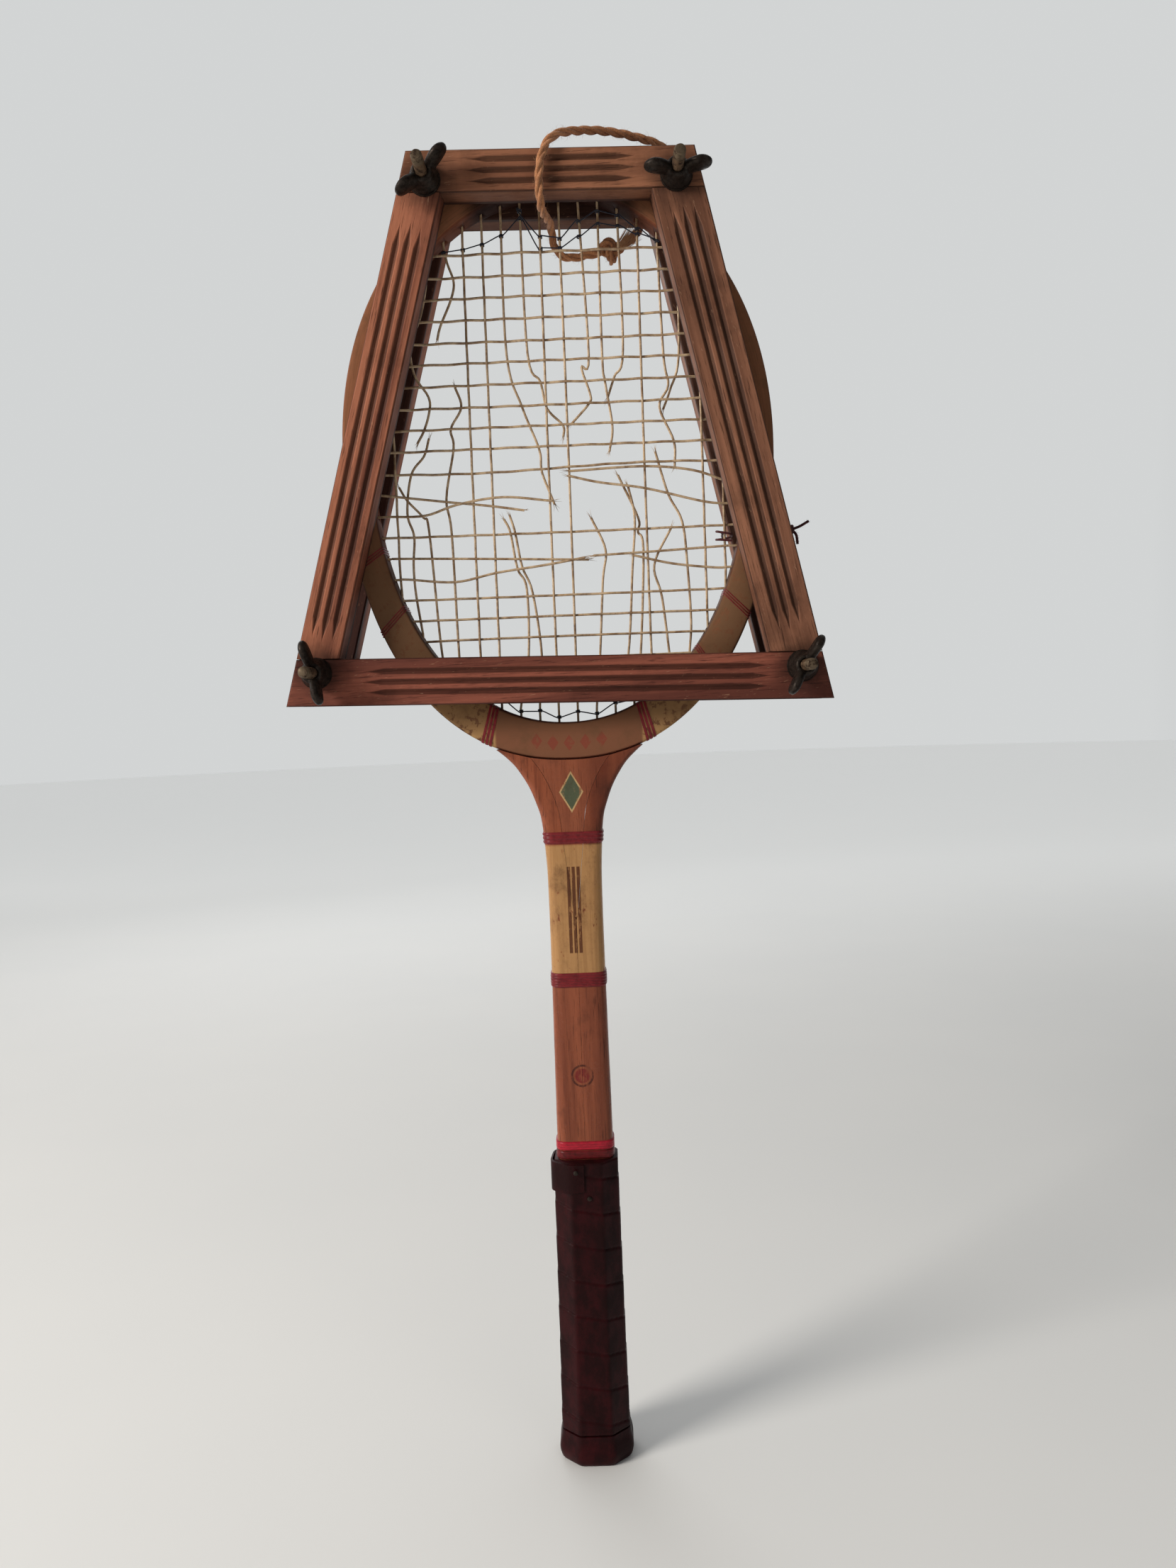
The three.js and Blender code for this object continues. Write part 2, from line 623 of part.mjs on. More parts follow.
const SIDE_SLOPE = (PRESS.halfBottom - PRESS.halfTop) / (2 * PRESS.halfHeight);
const SIDE_STRETCH = Math.hypot(1, SIDE_SLOPE);

function sideX(side, z, inward) {
  const outer = PRESS.halfTop + (PRESS.halfHeight - z) * SIDE_SLOPE;
  return side * (outer - inward * SIDE_STRETCH);
}

function crossOutline(isTop, grow = 0) {
  const height = PRESS.halfHeight;
  const low = isTop ? height - PRESS.topBar - grow : -height;
  const high = isTop ? height : -height + PRESS.bottomBar + grow;
  return [[sideX(-1, low, -grow), low], [sideX(1, low, -grow), low],
    [sideX(1, high, -grow), high], [sideX(-1, high, -grow), high]];
}

function sideOutline(side, grow = 0) {
  const width = (side < 0 ? PRESS.leftBar : PRESS.rightBar) + grow;
  const height = PRESS.halfHeight + grow;
  return [[sideX(side, -height, -grow), -height], [sideX(side, height, -grow), height],
    [sideX(side, height, width), height], [sideX(side, -height, width), -height]];
}

// A long gouge cut with a pointed end each way, sunk into a face.
function flute(start, end, y, outward) {
  const from = new THREE.Vector3(start[0], y, start[1]);
  const to = new THREE.Vector3(end[0], y, end[1]);
  const along = to.clone().sub(from).normalize();
  const across = new THREE.Vector3(-along.z, 0, along.x).multiplyScalar(FLUTE.width / 2);
  const out = new THREE.Vector3(0, outward, 0);
  const corners = [];
  for (const [tip, sign] of [[from, 1], [to, -1]]) {
    const full = tip.clone().addScaledVector(along, sign * FLUTE.point);
    corners.push(tip.clone().addScaledVector(out, -0.02), tip.clone().addScaledVector(out, 0.6));
    corners.push(full.clone().add(across), full.clone().sub(across));
    corners.push(full.clone().add(across).addScaledVector(out, 0.6));
    corners.push(full.clone().sub(across).addScaledVector(out, 0.6));
    corners.push(full.clone().addScaledVector(out, -FLUTE.depth));
  }
  return new ConvexGeometry(corners);
}

// Three flutes side by side along a bar, from one middle point to another.
function flutes(start, end, y, outward) {
  const direction = new THREE.Vector2(end[0] - start[0], end[1] - start[1]).normalize();
  return [-1, 0, 1].map((row) => {
    const shift = [-direction.y * row * FLUTE.pitch, direction.x * row * FLUTE.pitch];
    const inset = row === 0 ? 0 : 1.5;
    const from = [start[0] + shift[0] + direction.x * inset, start[1] + shift[1] + direction.y * inset];
    const to = [end[0] + shift[0] - direction.x * inset, end[1] + shift[1] - direction.y * inset];
    return flute(from, to, y, outward);
  });
}

function boltHole([x, z]) {
  return new THREE.CylinderGeometry(BOLT.radius + GAP, BOLT.radius + GAP, 120, 12).translate(x, 0, z);
}

// The four bars of one frame: face is -1 for the front frame and 1 for the back one. The top and
// bottom bars lap over the side bars on the outside face.
function pressFrame(face, label) {
  const group = new THREE.Group();
  const inner = face * PRESS_INNER_Y;
  const outer = face * PRESS_OUTER_Y;
  const middle = (inner + outer) / 2;
  const span = (a, b) => [Math.min(a, b), Math.max(a, b)];
  const holes = Object.values(BOLT_PLACES).map(boltHole);
  const bar = (name, outline, lap, carving) => {
    const blank = slab(outline, ...span(inner, outer), 0.8);
    return piece(`press_${label}_${name}`, cut(blank, [...lap, ...carving, ...holes]), MATERIALS.pressWood);
  };
  const lapInner = span(inner - face, middle + (face * GAP) / 2);
  const lapOuter = span(middle - (face * GAP) / 2, outer + face);
  const sideLaps = [-1, 1].map((side) => slab(sideOutline(side, GAP), ...lapInner));
  const crossLaps = [true, false].map((isTop) => slab(crossOutline(isTop, GAP), ...lapOuter));
  const topZ = PRESS.halfHeight - PRESS.topBar / 2;
  const bottomZ = -PRESS.halfHeight + PRESS.bottomBar / 2;
  for (const [name, middleZ] of [['top', topZ], ['bottom', bottomZ]]) {
    const [from, to] = FLUTE_ENDS[name].map((x) => [x, middleZ]);
    group.add(bar(name, crossOutline(name === 'top'), sideLaps, flutes(from, to, outer, face)));
  }
  for (const [side, name] of [[-1, 'left'], [1, 'right']]) {
    const half = (side < 0 ? PRESS.leftBar : PRESS.rightBar) / 2;
    const [from, to] = FLUTE_ENDS[name].map((z) => [sideX(side, z, half), z]);
    group.add(bar(name, sideOutline(side), crossLaps, flutes(from, to, outer, face)));
  }
  return group;
}

// A carriage bolt: domed head on the back of the press, shank through both frames.
function bolt([x, z]) {
  const seat = PRESS_OUTER_Y + GAP;
  const tip = -PRESS_OUTER_Y - BOLT.reach;
  const profile = [
    [0, tip], [BOLT.radius - 0.7, tip], [BOLT.radius, tip + 0.7], [BOLT.radius, seat],
    [BOLT.headRadius, seat], [BOLT.headRadius - 0.6, seat + 1.2],
    [BOLT.headRadius / 2, seat + BOLT.headHeight - 0.4], [0, seat + BOLT.headHeight],
  ];
  return turned(profile, 12).translate(x, 0, z);
}

function washer([x, z]) {
  const near = -PRESS_OUTER_Y - GAP;
  const far = near - WASHER.thickness;
  const profile = [
    [WASHER.bore, far], [WASHER.radius - 0.4, far], [WASHER.radius, near], [WASHER.bore, near],
    [WASHER.bore, far],
  ];
  return turned(profile, 20).translate(x, 0, z);
}

// A cast wing nut: a flared hub with a bore and two lobes that lean outwards and forwards.
function wingNut([x, z, angle]) {
  const foot = -PRESS_OUTER_Y - 2 * GAP - WASHER.thickness;
  const hub = turned([
    [0, foot - NUT.height], [NUT.waist - 0.5, foot - NUT.height], [NUT.waist, foot - NUT.height + 0.8],
    [NUT.waist + 0.3, foot - 4.5], [NUT.foot - 0.8, foot - 1.6], [NUT.foot, foot - 0.7], [NUT.foot, foot],
    [0, foot],
  ], 12);
  const lobes = [-1, 1].map((side) => {
    const outline = new THREE.Shape();
    outline.absellipse(0, 0, LOBE.halfLong, LOBE.halfWide, 0, 2 * Math.PI, false, 0);
    const lobe = new THREE.ExtrudeGeometry(outline, {
      depth: LOBE.thickness - 2 * LOBE.bevel,
      bevelEnabled: true,
      bevelSize: LOBE.bevel,
      bevelOffset: -LOBE.bevel,
      bevelThickness: LOBE.bevel,
      bevelSegments: 1,
      curveSegments: 5,
    });
    lobe.translate(0, 0, LOBE.bevel - LOBE.thickness / 2);
    lobe.rotateZ(-side * LOBE.lean);
    return lobe.translate(side * LOBE.reach, foot - LOBE.forward, 0);
  });
  const bore = new THREE.CylinderGeometry(NUT.bore, NUT.bore, 80, 12).translate(0, foot, 0);
  const nut = cut(joined([hub, ...lobes]), [bore]);
  nut.rotateY(-THREE.MathUtils.degToRad(angle));
  return nut.translate(x, 0, z);
}

// ---------------------------------------------------------------- loose cords

// The jute rope is tied round the tops of both frames and through the strings, in two lengths:
// the front one hangs on the front frame and the back one on the back frame.
const ROPE_FRONT = [
  [0.5, -2.6, 661.6], [-0.5, -8, 661.4], [-1.6, -14, 661], [-2.6, -19.6, 661], [-3.2, -24.2, 662.3],
  [-3.5, -27.4, 665.4], [-3.5, -28.9, 669.6], [-3.2, -29, 676], [-2.2, -28.9, 682], [0, -28.8, 688],
  [3.4, -27.6, 692.8], [8.6, -23.6, 696.8], [16.7, -17, 700.4], [26, -10.8, 703], [36, -5, 704.2],
  [44.4, -1, 704.1],
];
const ROPE_BACK = [
  [45.3, -0.5, 704], [54, 4.4, 703.6], [61, 10.4, 702.8], [65, 17, 700.2], [65.4, 23.8, 695.8],
  [61.8, 28.2, 689.6], [57, 28.6, 683], [52, 28.4, 676], [47.4, 28, 667.6], [43.4, 24.6, 661.6],
  [40, 19.5, 658.4], [38.2, 17, 656],
];
const ROPE_LOWER = [
  [25.4, 10.6, 650.2], [23, 9, 649.4], [18, 7.6, 648.2], [12.8, 7, 647.3], [8.4, 6.8, 647.5],
  [4.9, 6.7, 649.3], [2.5, 6.5, 652.6], [1.5, 5.7, 656.4], [1, 3.6, 659.3], [0.8, 0.9, 661],
  [0.6, -1.9, 661.5],
];
const ROPE_KNOT = [32, 14, 652.6];

// The thin tie goes from its knot, behind the right bar of the back frame, to the outermost main.
const TIE = [
  [121.5, 4, 500.4], [123, 12, 500], [122.5, 20, 500], [120.5, 26, 500], [114, 27.6, 500],
  [104, 27.6, 500.4], [94, 27.4, 500.8], [88.4, 25, 501], [86.6, 18, 501], [86, 10, 501],
  [84.8, 5, 501.2], [82.6, 2.6, 501.4], [81.8, 0, 501], [83, -2.8, 500.4], [86, -3.4, 499.8],
  [89, -2.6, 499.2], [90, 0.4, 498.6], [88.6, 3.2, 498], [85.6, 4, 497.6], [82.6, 3, 497.2],
  [81.6, 0.4, 496.8], [82.8, -2.4, 496.4], [86, -3.2, 496], [89.6, -3, 495.6],
];

function ellipsoid([x, y, z], sizeX, sizeY, sizeZ) {
  return new THREE.SphereGeometry(1, 12, 8).scale(sizeX, sizeY, sizeZ).translate(x, y, z);
}

// ---------------------------------------------------------------- assembly

function piece(name, geometry, material) {
  const mesh = new THREE.Mesh(geometry, material);
  mesh.name = name;
  return mesh;
}

function racket() {
  const group = new THREE.Group();
  group.add(piece('head_hoop', hoop(), MATERIALS.hoopWood));
  group.add(piece('throat_wedge', throatWedge(), MATERIALS.shaftWood));
  group.add(piece('shaft_leg_left', shaftLeg(-1), MATERIALS.shaftWood));
  group.add(piece('shaft_leg_right', shaftLeg(1), MATERIALS.shaftWood));
  group.add(piece('handle_pallet_front', pallet(-1), MATERIALS.palletWood));
  group.add(piece('handle_pallet_back', pallet(1), MATERIALS.palletWood));
  group.add(piece('leather_grip', leatherGrip(), MATERIALS.leather));
  group.add(piece('grip_end_turn', gripEndTurn(), MATERIALS.leather));
  group.add(piece('butt_cap', buttCap(), MATERIALS.leather));
  group.add(piece('grip_tack_upper', tack(-5.4, 164, END_TURN_LIFT), MATERIALS.castIron));
  group.add(piece('grip_tack_lower', tack(1.4, 149, 0), MATERIALS.castIron));
  group.add(piece('binding_throat', shaftBinding(339.4, 345.8), MATERIALS.redBinding));
  group.add(piece('binding_shaft', shaftBinding(262.2, 270), MATERIALS.redBinding));
  group.add(piece('binding_grip', shaftBinding(GRIP_TOP + 0.4, 178), MATERIALS.redBinding));
  group.add(piece('binding_hoop_left', hoopBinding(-1), MATERIALS.redBinding));
  group.add(piece('binding_hoop_right', hoopBinding(1), MATERIALS.redBinding));
  group.add(strings());
  group.add(trebling('trebling_top', UPPER_THREAD));
  group.add(trebling('trebling_bottom', LOWER_THREAD));
  return group;
}

function press() {
  const group = new THREE.Group();
  group.position.set(PRESS.centreX, 0, PRESS.centreZ);
  group.rotation.y = PRESS.turn;
  group.add(pressFrame(-1, 'front'));
  group.add(pressFrame(1, 'back'));
  for (const [name, place] of Object.entries(BOLT_PLACES)) {
    group.add(piece(`bolt_${name}`, bolt(place), MATERIALS.brass));
    group.add(piece(`washer_${name}`, washer(place), MATERIALS.castIron));
    group.add(piece(`wing_nut_${name}`, wingNut(place), MATERIALS.castIron));
  }
  return group;
}

function looseCords() {
  const group = new THREE.Group();
  group.add(piece('rope_front', smoothCord(ROPE_FRONT, ROPE_RADIUS, 22), MATERIALS.rope));
  group.add(piece('rope_back', smoothCord(ROPE_BACK, ROPE_RADIUS, 18), MATERIALS.rope));
  group.add(piece('rope_lower', smoothCord(ROPE_LOWER, ROPE_RADIUS, 12), MATERIALS.rope));
  group.add(piece('rope_knot', ellipsoid(ROPE_KNOT, 6.2, 5, 5.2), MATERIALS.rope));
  group.add(piece('tie_cord', smoothCord(TIE, TIE_RADIUS, 40), MATERIALS.redCord));
  group.add(piece('tie_knot', ellipsoid([121, 0, 500.6], 2.2, 3, 3), MATERIALS.redCord));
  return group;
}

const model = new THREE.Group();
model.add(racket(), press(), looseCords());

export default model;
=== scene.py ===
"""An old wooden tennis racket clamped in its fluted press, standing on its butt on a pale floor."""

import random
from math import atan2, copysign, cos, exp, pi, radians, sin, sqrt

import bmesh
import bpy
from mathutils import Matrix, Vector


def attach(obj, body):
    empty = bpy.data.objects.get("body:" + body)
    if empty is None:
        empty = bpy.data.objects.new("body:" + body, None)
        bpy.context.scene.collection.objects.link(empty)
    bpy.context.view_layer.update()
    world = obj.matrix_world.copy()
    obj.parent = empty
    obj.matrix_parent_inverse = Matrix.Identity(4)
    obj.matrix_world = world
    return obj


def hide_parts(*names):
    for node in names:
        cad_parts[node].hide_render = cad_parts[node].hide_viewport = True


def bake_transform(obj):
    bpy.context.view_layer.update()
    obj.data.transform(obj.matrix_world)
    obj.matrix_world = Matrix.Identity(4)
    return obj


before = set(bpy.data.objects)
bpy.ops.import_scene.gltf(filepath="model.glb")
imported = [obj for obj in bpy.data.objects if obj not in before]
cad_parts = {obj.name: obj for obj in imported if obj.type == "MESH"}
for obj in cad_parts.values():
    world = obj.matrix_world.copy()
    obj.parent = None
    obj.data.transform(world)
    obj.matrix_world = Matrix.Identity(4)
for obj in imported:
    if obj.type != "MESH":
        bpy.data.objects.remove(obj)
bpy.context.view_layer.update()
random.seed(7)

# ---- driving dimensions, millimetres

MM = 0.001
HEAD_CENTRE_Z = 545
HALF_DEPTH = 9
OUTER = {"half_width": 112.2, "up": 141.5, "down": 160.8, "power_up": 2.1, "power_down": 2.2}
INNER = {"half_width": 98, "up": 131, "down": 141.2, "power_up": 2.1, "power_down": 2.1}
GROOVE = {"depth": 2.2, "half_width": 1.9}
STRING_RADIUS = 0.65
LOOP_DEPTH = 1.25
MAIN = {"count": 18, "pitch": 10.1, "y": 0.8}
CROSS = {"count": 21, "pitch": 11.05, "top": 648, "y": -0.8}
WEAVE = 0.66

SHAFT_LEVELS = [
    (2.6, 14.6), (60, 14.8), (178, 15.1), (265, 14.5), (321, 14.5), (340, 15.4), (347, 15.9),
    (355, 17), (361, 18.8), (369, 21.8), (376, 25.6), (383, 30.6), (391, 39.2), (397, 46),
]
WEDGE_LEVELS = [(300, 0.8), (344, 5.6), (356, 6.9), (366, 9.8), (377, 14.8), (386, 21), (396, 30)]
WEDGE_REACH = 20.9
GRIP_LEVELS = [(16.8, 18.6), (26, 18.6), (70, 18.1), (141, 17.6), (168, 17.4)]
BUTT_LEVELS = [(0, 18.2), (1, 19.1), (2.6, 19.8), (6, 20.4), (10, 20), (13.5, 19.2), (16.5, 18.9)]
GRIP_FOOT = 16.9
GRIP_TOP = 168
BUTT_TOP = 16.5
END_TURN = (151.5, 167.4)
GRIP_ASPECT = 0.88
GRIP_FLAT = 0.47
WRAP_PITCH = 19.5

BADGE_Z = 367
STRIPES = (281, 327)
PALE_STRETCH = (270, 338)
RING_Z = 214
THROAT_BINDING = (339.4, 345.8)
SHAFT_BINDING = (262.2, 270)
GRIP_TAPE = (173.2, 178)
TAPE_RESIDUE = (168.3, 172.9)
LOWER_RING_ANGLE = 21.9
UPPER_RING_ANGLES = (-161.3, -147.4, -31.5, -46.5)

PRESS_CENTRE = (-0.6, 551.8)
PRESS_TURN = radians(1.27)
PRESS_FACE_Y = -25.3
BOLT_PLACES = {
    "top_left": (-62.7, 122.8, 40),
    "top_right": (62.7, 122.8, 0),
    "bottom_left": (-124.3, -120.8, 102),
    "bottom_right": (124.3, -120.8, 58),
}

CAMERA_PLACE = (16.7, -629.7, 412.1)
LENS = 27.05

BOLT_RADIUS = 2.98
BOLT_REACH = 28
THREAD_PITCH = 1.27

ROPE_DIAMETER = 4.4
ROPE_LAY = 24
KNOT_SIZE = 1.75
TIE_DIAMETER = 1.2


# ---- meshes and curves

def link(name, data, material=None):
    """A new object in the scene, in the frame's own coordinates."""
    obj = bpy.data.objects.new(name, data)
    bpy.context.collection.objects.link(obj)
    if material:
        data.materials.append(material)
    return obj


def settle(piece, node=None, body="racket"):
    """Says which CAD node the piece stands for and what it rides on."""
    if node:
        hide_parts(node)
    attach(piece, body)


def mesh_piece(name, verts, faces, material, crease=40):
    """A smooth mesh from millimetre points, with edges sharper than crease degrees kept."""
    mesh = bpy.data.meshes.new(name)
    mesh.from_pydata([Vector(v) * MM for v in verts], [], faces)
    bm = bmesh.new()
    bm.from_mesh(mesh)
    bmesh.ops.recalc_face_normals(bm, faces=bm.faces)
    bm.to_mesh(mesh)
    bm.free()
    mesh.polygons.foreach_set("use_smooth", [True] * len(mesh.polygons))
    mesh.set_sharp_from_angle(angle=radians(crease))
    return link(name, mesh, material)


def skin(rings, closed=False, caps=True):
    """Vertices and faces of a skin over rings of equally many points."""
    size = len(rings[0])
    verts = [point for ring in rings for point in ring]
    faces = []
    for r in range(len(rings) if closed else len(rings) - 1):
        a = r * size
        b = ((r + 1) % len(rings)) * size
        for k in range(size):
            n = (k + 1) % size
            faces.append((a + k, a + n, b + n, b + k))
    if caps and not closed:
        faces.append(tuple(range(size)))
        faces.append(tuple(range(len(verts) - size, len(verts))))
    return verts, faces


def merged(parts):
    """Several (verts, faces) pairs as one."""
    verts = []
    faces = []
    for part_verts, part_faces in parts:
        start = len(verts)
        verts.extend(part_verts)
        faces.extend(tuple(i + start for i in face) for face in part_faces)
    return verts, faces


def smooth_route(points, steps):
    """A Catmull-Rom curve through the points, with steps stretches between each two."""
    pts = [Vector(p) for p in points]
    pts = [2 * pts[0] - pts[1]] + pts + [2 * pts[-1] - pts[-2]]
    route = []
    for i in range(1, len(pts) - 2):
        before, start, end, after = pts[i - 1:i + 3]
        for k in range(steps):
            t = k / steps
            route.append(0.5 * (
                2 * start + (end - before) * t + (2 * before - 5 * start + 4 * end - after) * t * t
                + (3 * start - before - 3 * end + after) * t ** 3
            ))
    route.append(pts[-2])
    return route


def evenly(route, spacing):
    """The same route with its points a fixed distance apart."""
    total = route_length(route)
    count = max(2, round(total / spacing))
    step = total / count
    result = [route[0]]
    walked = 0
    wanted = step
    for a, b in zip(route, route[1:]):
        length = (b - a).length
        while walked + length >= wanted and len(result) < count:
            result.append(a.lerp(b, (wanted - walked) / length))
            wanted += step
        walked += length
    result.append(route[-1])
    return result


def route_length(route):
    return sum((b - a).length for a, b in zip(route, route[1:]))


def curve_piece(name, routes, radius, material, resolution=3, taper=False):
    """One curve object with a round tube along each route of millimetre points."""
    curve = bpy.data.curves.new(name, "CURVE")
    curve.dimensions = "3D"
    curve.bevel_depth = radius * MM
    curve.bevel_resolution = resolution
    curve.use_fill_caps = True
    for route in routes:
        spline = curve.splines.new("POLY")
        spline.points.add(len(route) - 1)
        for i, point in enumerate(route):
            spline.points[i].co = (point[0] * MM, point[1] * MM, point[2] * MM, 1)
            spline.points[i].radius = 1 - 0.85 * i / (len(route) - 1) if taper else 1
        spline.use_smooth = True
    return link(name, curve, material)


def bake(obj):
    """Applies the object's modifiers to its mesh."""
    depsgraph = bpy.context.evaluated_depsgraph_get()
    mesh = bpy.data.meshes.new_from_object(obj.evaluated_get(depsgraph))
    obj.modifiers.clear()
    obj.data = mesh


def meshed(curve):
    """A curve object's tubes as a mesh object of the same name."""
    name = curve.name
    depsgraph = bpy.context.evaluated_depsgraph_get()
    mesh = bpy.data.meshes.new_from_object(curve.evaluated_get(depsgraph))
    bpy.data.objects.remove(curve)
    return link(name, mesh)


def tube(route, section, sides=42):
    """Rings along a route that don't twist about it. section(s, angle) gives the radius."""
    rings = []
    side = None
    walked = 0
    for i, point in enumerate(route):
        ahead = route[min(i + 1, len(route) - 1)]
        behind = route[max(i - 1, 0)]
        along = (ahead - behind).normalized()
        if side is None:
            side = along.orthogonal().normalized()
        side = (side - along * side.dot(along)).normalized()
        other = along.cross(side)
        walked += (point - behind).length
        ring = []
        for k in range(sides):
            angle = 2 * pi * k / sides
            radius = section(walked, angle)
            ring.append(point + side * (radius * cos(angle)) + other * (radius * sin(angle)))
        rings.append(ring)
    return skin(rings)


def circle(count):
    """The cosine and sine of evenly spaced directions."""
    return [(cos(2 * pi * k / count), sin(2 * pi * k / count)) for k in range(count)]


def level_at(levels, z):
    """The value at z of a smooth line through the levels."""
    if z <= levels[0][0]:
        return levels[0][1]
    for i in range(len(levels) - 1):
        (z0, v0), (z1, v1) = levels[i], levels[i + 1]
        if z <= z1:
            before = levels[max(i - 1, 0)]
            after = levels[min(i + 2, len(levels) - 1)]
            slope0 = (v1 - before[1]) / (z1 - before[0])
            slope1 = (after[1] - v0) / (after[0] - z0)
            t = (z - z0) / (z1 - z0)
            h = z1 - z0
            return (v0 * (2 * t ** 3 - 3 * t ** 2 + 1) + h * slope0 * (t ** 3 - 2 * t ** 2 + t)
                    + v1 * (3 * t ** 2 - 2 * t ** 3) + h * slope1 * (t ** 3 - t ** 2))
    return levels[-1][1]


def rounded_outline(corners, radius, steps=4):
    """A closed outline of 2-D corners, each cut by a smooth bend of that reach."""
    outline = []
    count = len(corners)
    for i in range(count):
        here = Vector(corners[i])
        back = Vector(corners[i - 1]) - here
        ahead = Vector(corners[(i + 1) % count]) - here
        start = here + back.normalized() * min(radius, back.length / 2.2)
        end = here + ahead.normalized() * min(radius, ahead.length / 2.2)
        for k in range(steps + 1):
            t = k / steps
            outline.append(start.lerp(here, t).lerp(here.lerp(end, t), t))
    return outline


def octagon(half_x, half_y, cut_x, cut_y):
    return [
        (half_x - cut_x, -half_y), (half_x, -half_y + cut_y), (half_x, half_y - cut_y),
        (half_x - cut_x, half_y), (-half_x + cut_x, half_y), (-half_x, half_y - cut_y),
        (-half_x, -half_y + cut_y), (-half_x + cut_x, -half_y),
    ]


# ---- materials

def colour(red, green, blue):
    """A screen colour, 0 to 255, as the linear colour that shaders take."""
    linear = [c / 12.92 if c < 0.04045 else ((c + 0.055) / 1.055) ** 2.4
              for c in (red / 255, green / 255, blue / 255)]
    return (*linear, 1)


def darker(tint, share):
    return (*(c * share for c in tint[:3]), 1)


class Finish:
    """A procedural material, built up node by node."""

    def __init__(self, name, roughness=0.5, metallic=0):
        self.material = bpy.data.materials.new(name)
        self.material.use_nodes = True
        self.tree = self.material.node_tree
        self.shader = self.tree.nodes["Principled BSDF"]
        self.shader.inputs["Roughness"].default_value = roughness
        self.shader.inputs["Metallic"].default_value = metallic
        self.shader.inputs["Specular IOR Level"].default_value = 0.12
        self.place = self.tree.nodes.new("ShaderNodeTexCoord").outputs["Object"]
        self.body = None

    def node(self, kind, inputs, **settings):
        node = self.tree.nodes.new(kind)
        for key, value in settings.items():
            setattr(node, key, value)
        for key, value in inputs.items():
            if isinstance(value, bpy.types.NodeSocket):
                self.tree.links.new(value, node.inputs[key])
            else:
                node.inputs[key].default_value = value
        return node

    def mapped(self, scale=(1, 1, 1), rotation=(0, 0, 0), place=None):
        """Coordinates in millimetres, turned and then scaled."""
        turned = self.node("ShaderNodeMapping", {0: place or self.place, "Rotation": rotation})
        return self.node("ShaderNodeVectorMath", {
            0: turned.outputs[0], 1: [s / MM for s in scale],
        }, operation="MULTIPLY").outputs[0]

    def noise(self, place, scale=1, detail=3, rough=0.55, distortion=0):
        return self.node("ShaderNodeTexNoise", {
            "Vector": place, "Scale": scale, "Detail": detail, "Roughness": rough, "Distortion": distortion,
        }).outputs["Fac"]

    def cloud(self, fineness, detail, rough=0.55):
        """Noise of the same fineness every way."""
        return self.noise(self.mapped((fineness, fineness, fineness)), 1, detail, rough)

    def ramp(self, value, low, high, to_low=0, to_high=1):
        """value from low to high becomes to_low to to_high, smoothly."""
        return self.node("ShaderNodeMapRange", {
            "Value": value, "From Min": low, "From Max": high, "To Min": to_low, "To Max": to_high,
        }, interpolation_type="SMOOTHSTEP").outputs[0]

    def sums(self, operation, a, b=0.0):
        return self.node("ShaderNodeMath", {0: a, 1: b}, operation=operation).outputs[0]

    def times(self, a, b):
        return self.sums("MULTIPLY", a, b)

    def plus(self, a, b):
        return self.sums("ADD", a, b)

    def minus(self, a, b):
        return self.sums("SUBTRACT", a, b)

    def both(self, a, weight_a, b, weight_b):
        return self.plus(self.times(a, weight_a), self.times(b, weight_b))

    def mix(self, share, a, b):
        node = self.node("ShaderNodeMix", {"Factor": share}, data_type="RGBA")
        for socket, value in ((node.inputs[6], a), (node.inputs[7], b)):
            if isinstance(value, bpy.types.NodeSocket):
                self.tree.links.new(value, socket)
            else:
                socket.default_value = value
        return node.outputs[2]

    def band(self, value, low, high, soft):
        """1 while value is between low and high, fading over soft at both ends."""
        rises = self.ramp(value, low - soft, low)
        falls = self.ramp(value, high, high + soft, 1, 0)
        return self.times(rises, falls)

    def length(self, a, b):
        """The square root of a squared plus b squared."""
        return self.sums("SQRT", self.both(a, a, b, b))

    def lozenge(self, x, z, centre_x, centre_z, half_x, half_z):
        """1 inside an upright lozenge, fading out at its edge."""
        across = self.sums("ABSOLUTE", self.minus(x, centre_x))
        up = self.sums("ABSOLUTE", self.minus(z, centre_z))
        reach = self.plus(self.sums("DIVIDE", across, half_x), self.sums("DIVIDE", up, half_z))
        return self.ramp(reach, 1.05, 0.95)

    def axes(self):
        """The place as three numbers, in millimetres."""
        parts = self.node("ShaderNodeSeparateXYZ", {0: self.mapped()})
        return parts.outputs[0], parts.outputs[1], parts.outputs[2]

    def over(self, share, tint):
        """Lays a colour over the body colour, as strongly as share says."""
        self.body = self.mix(share, self.body, tint)

    def paint(self):
        self.tree.links.new(self.body, self.shader.inputs["Base Color"])

    def rough(self, socket):
        self.tree.links.new(socket, self.shader.inputs["Roughness"])

    def bump(self, height, strength=0.5, distance=0.1):
        """distance is the height of a full bump, in millimetres."""
        node = self.node("ShaderNodeBump", {
            "Height": height, "Strength": strength, "Distance": distance * MM,
        })
        self.tree.links.new(node.outputs[0], self.shader.inputs["Normal"])
        return self

    def coat(self, weight, roughness):
        self.shader.inputs["Coat Weight"].default_value = weight
        self.shader.inputs["Coat Roughness"].default_value = roughness
        return self


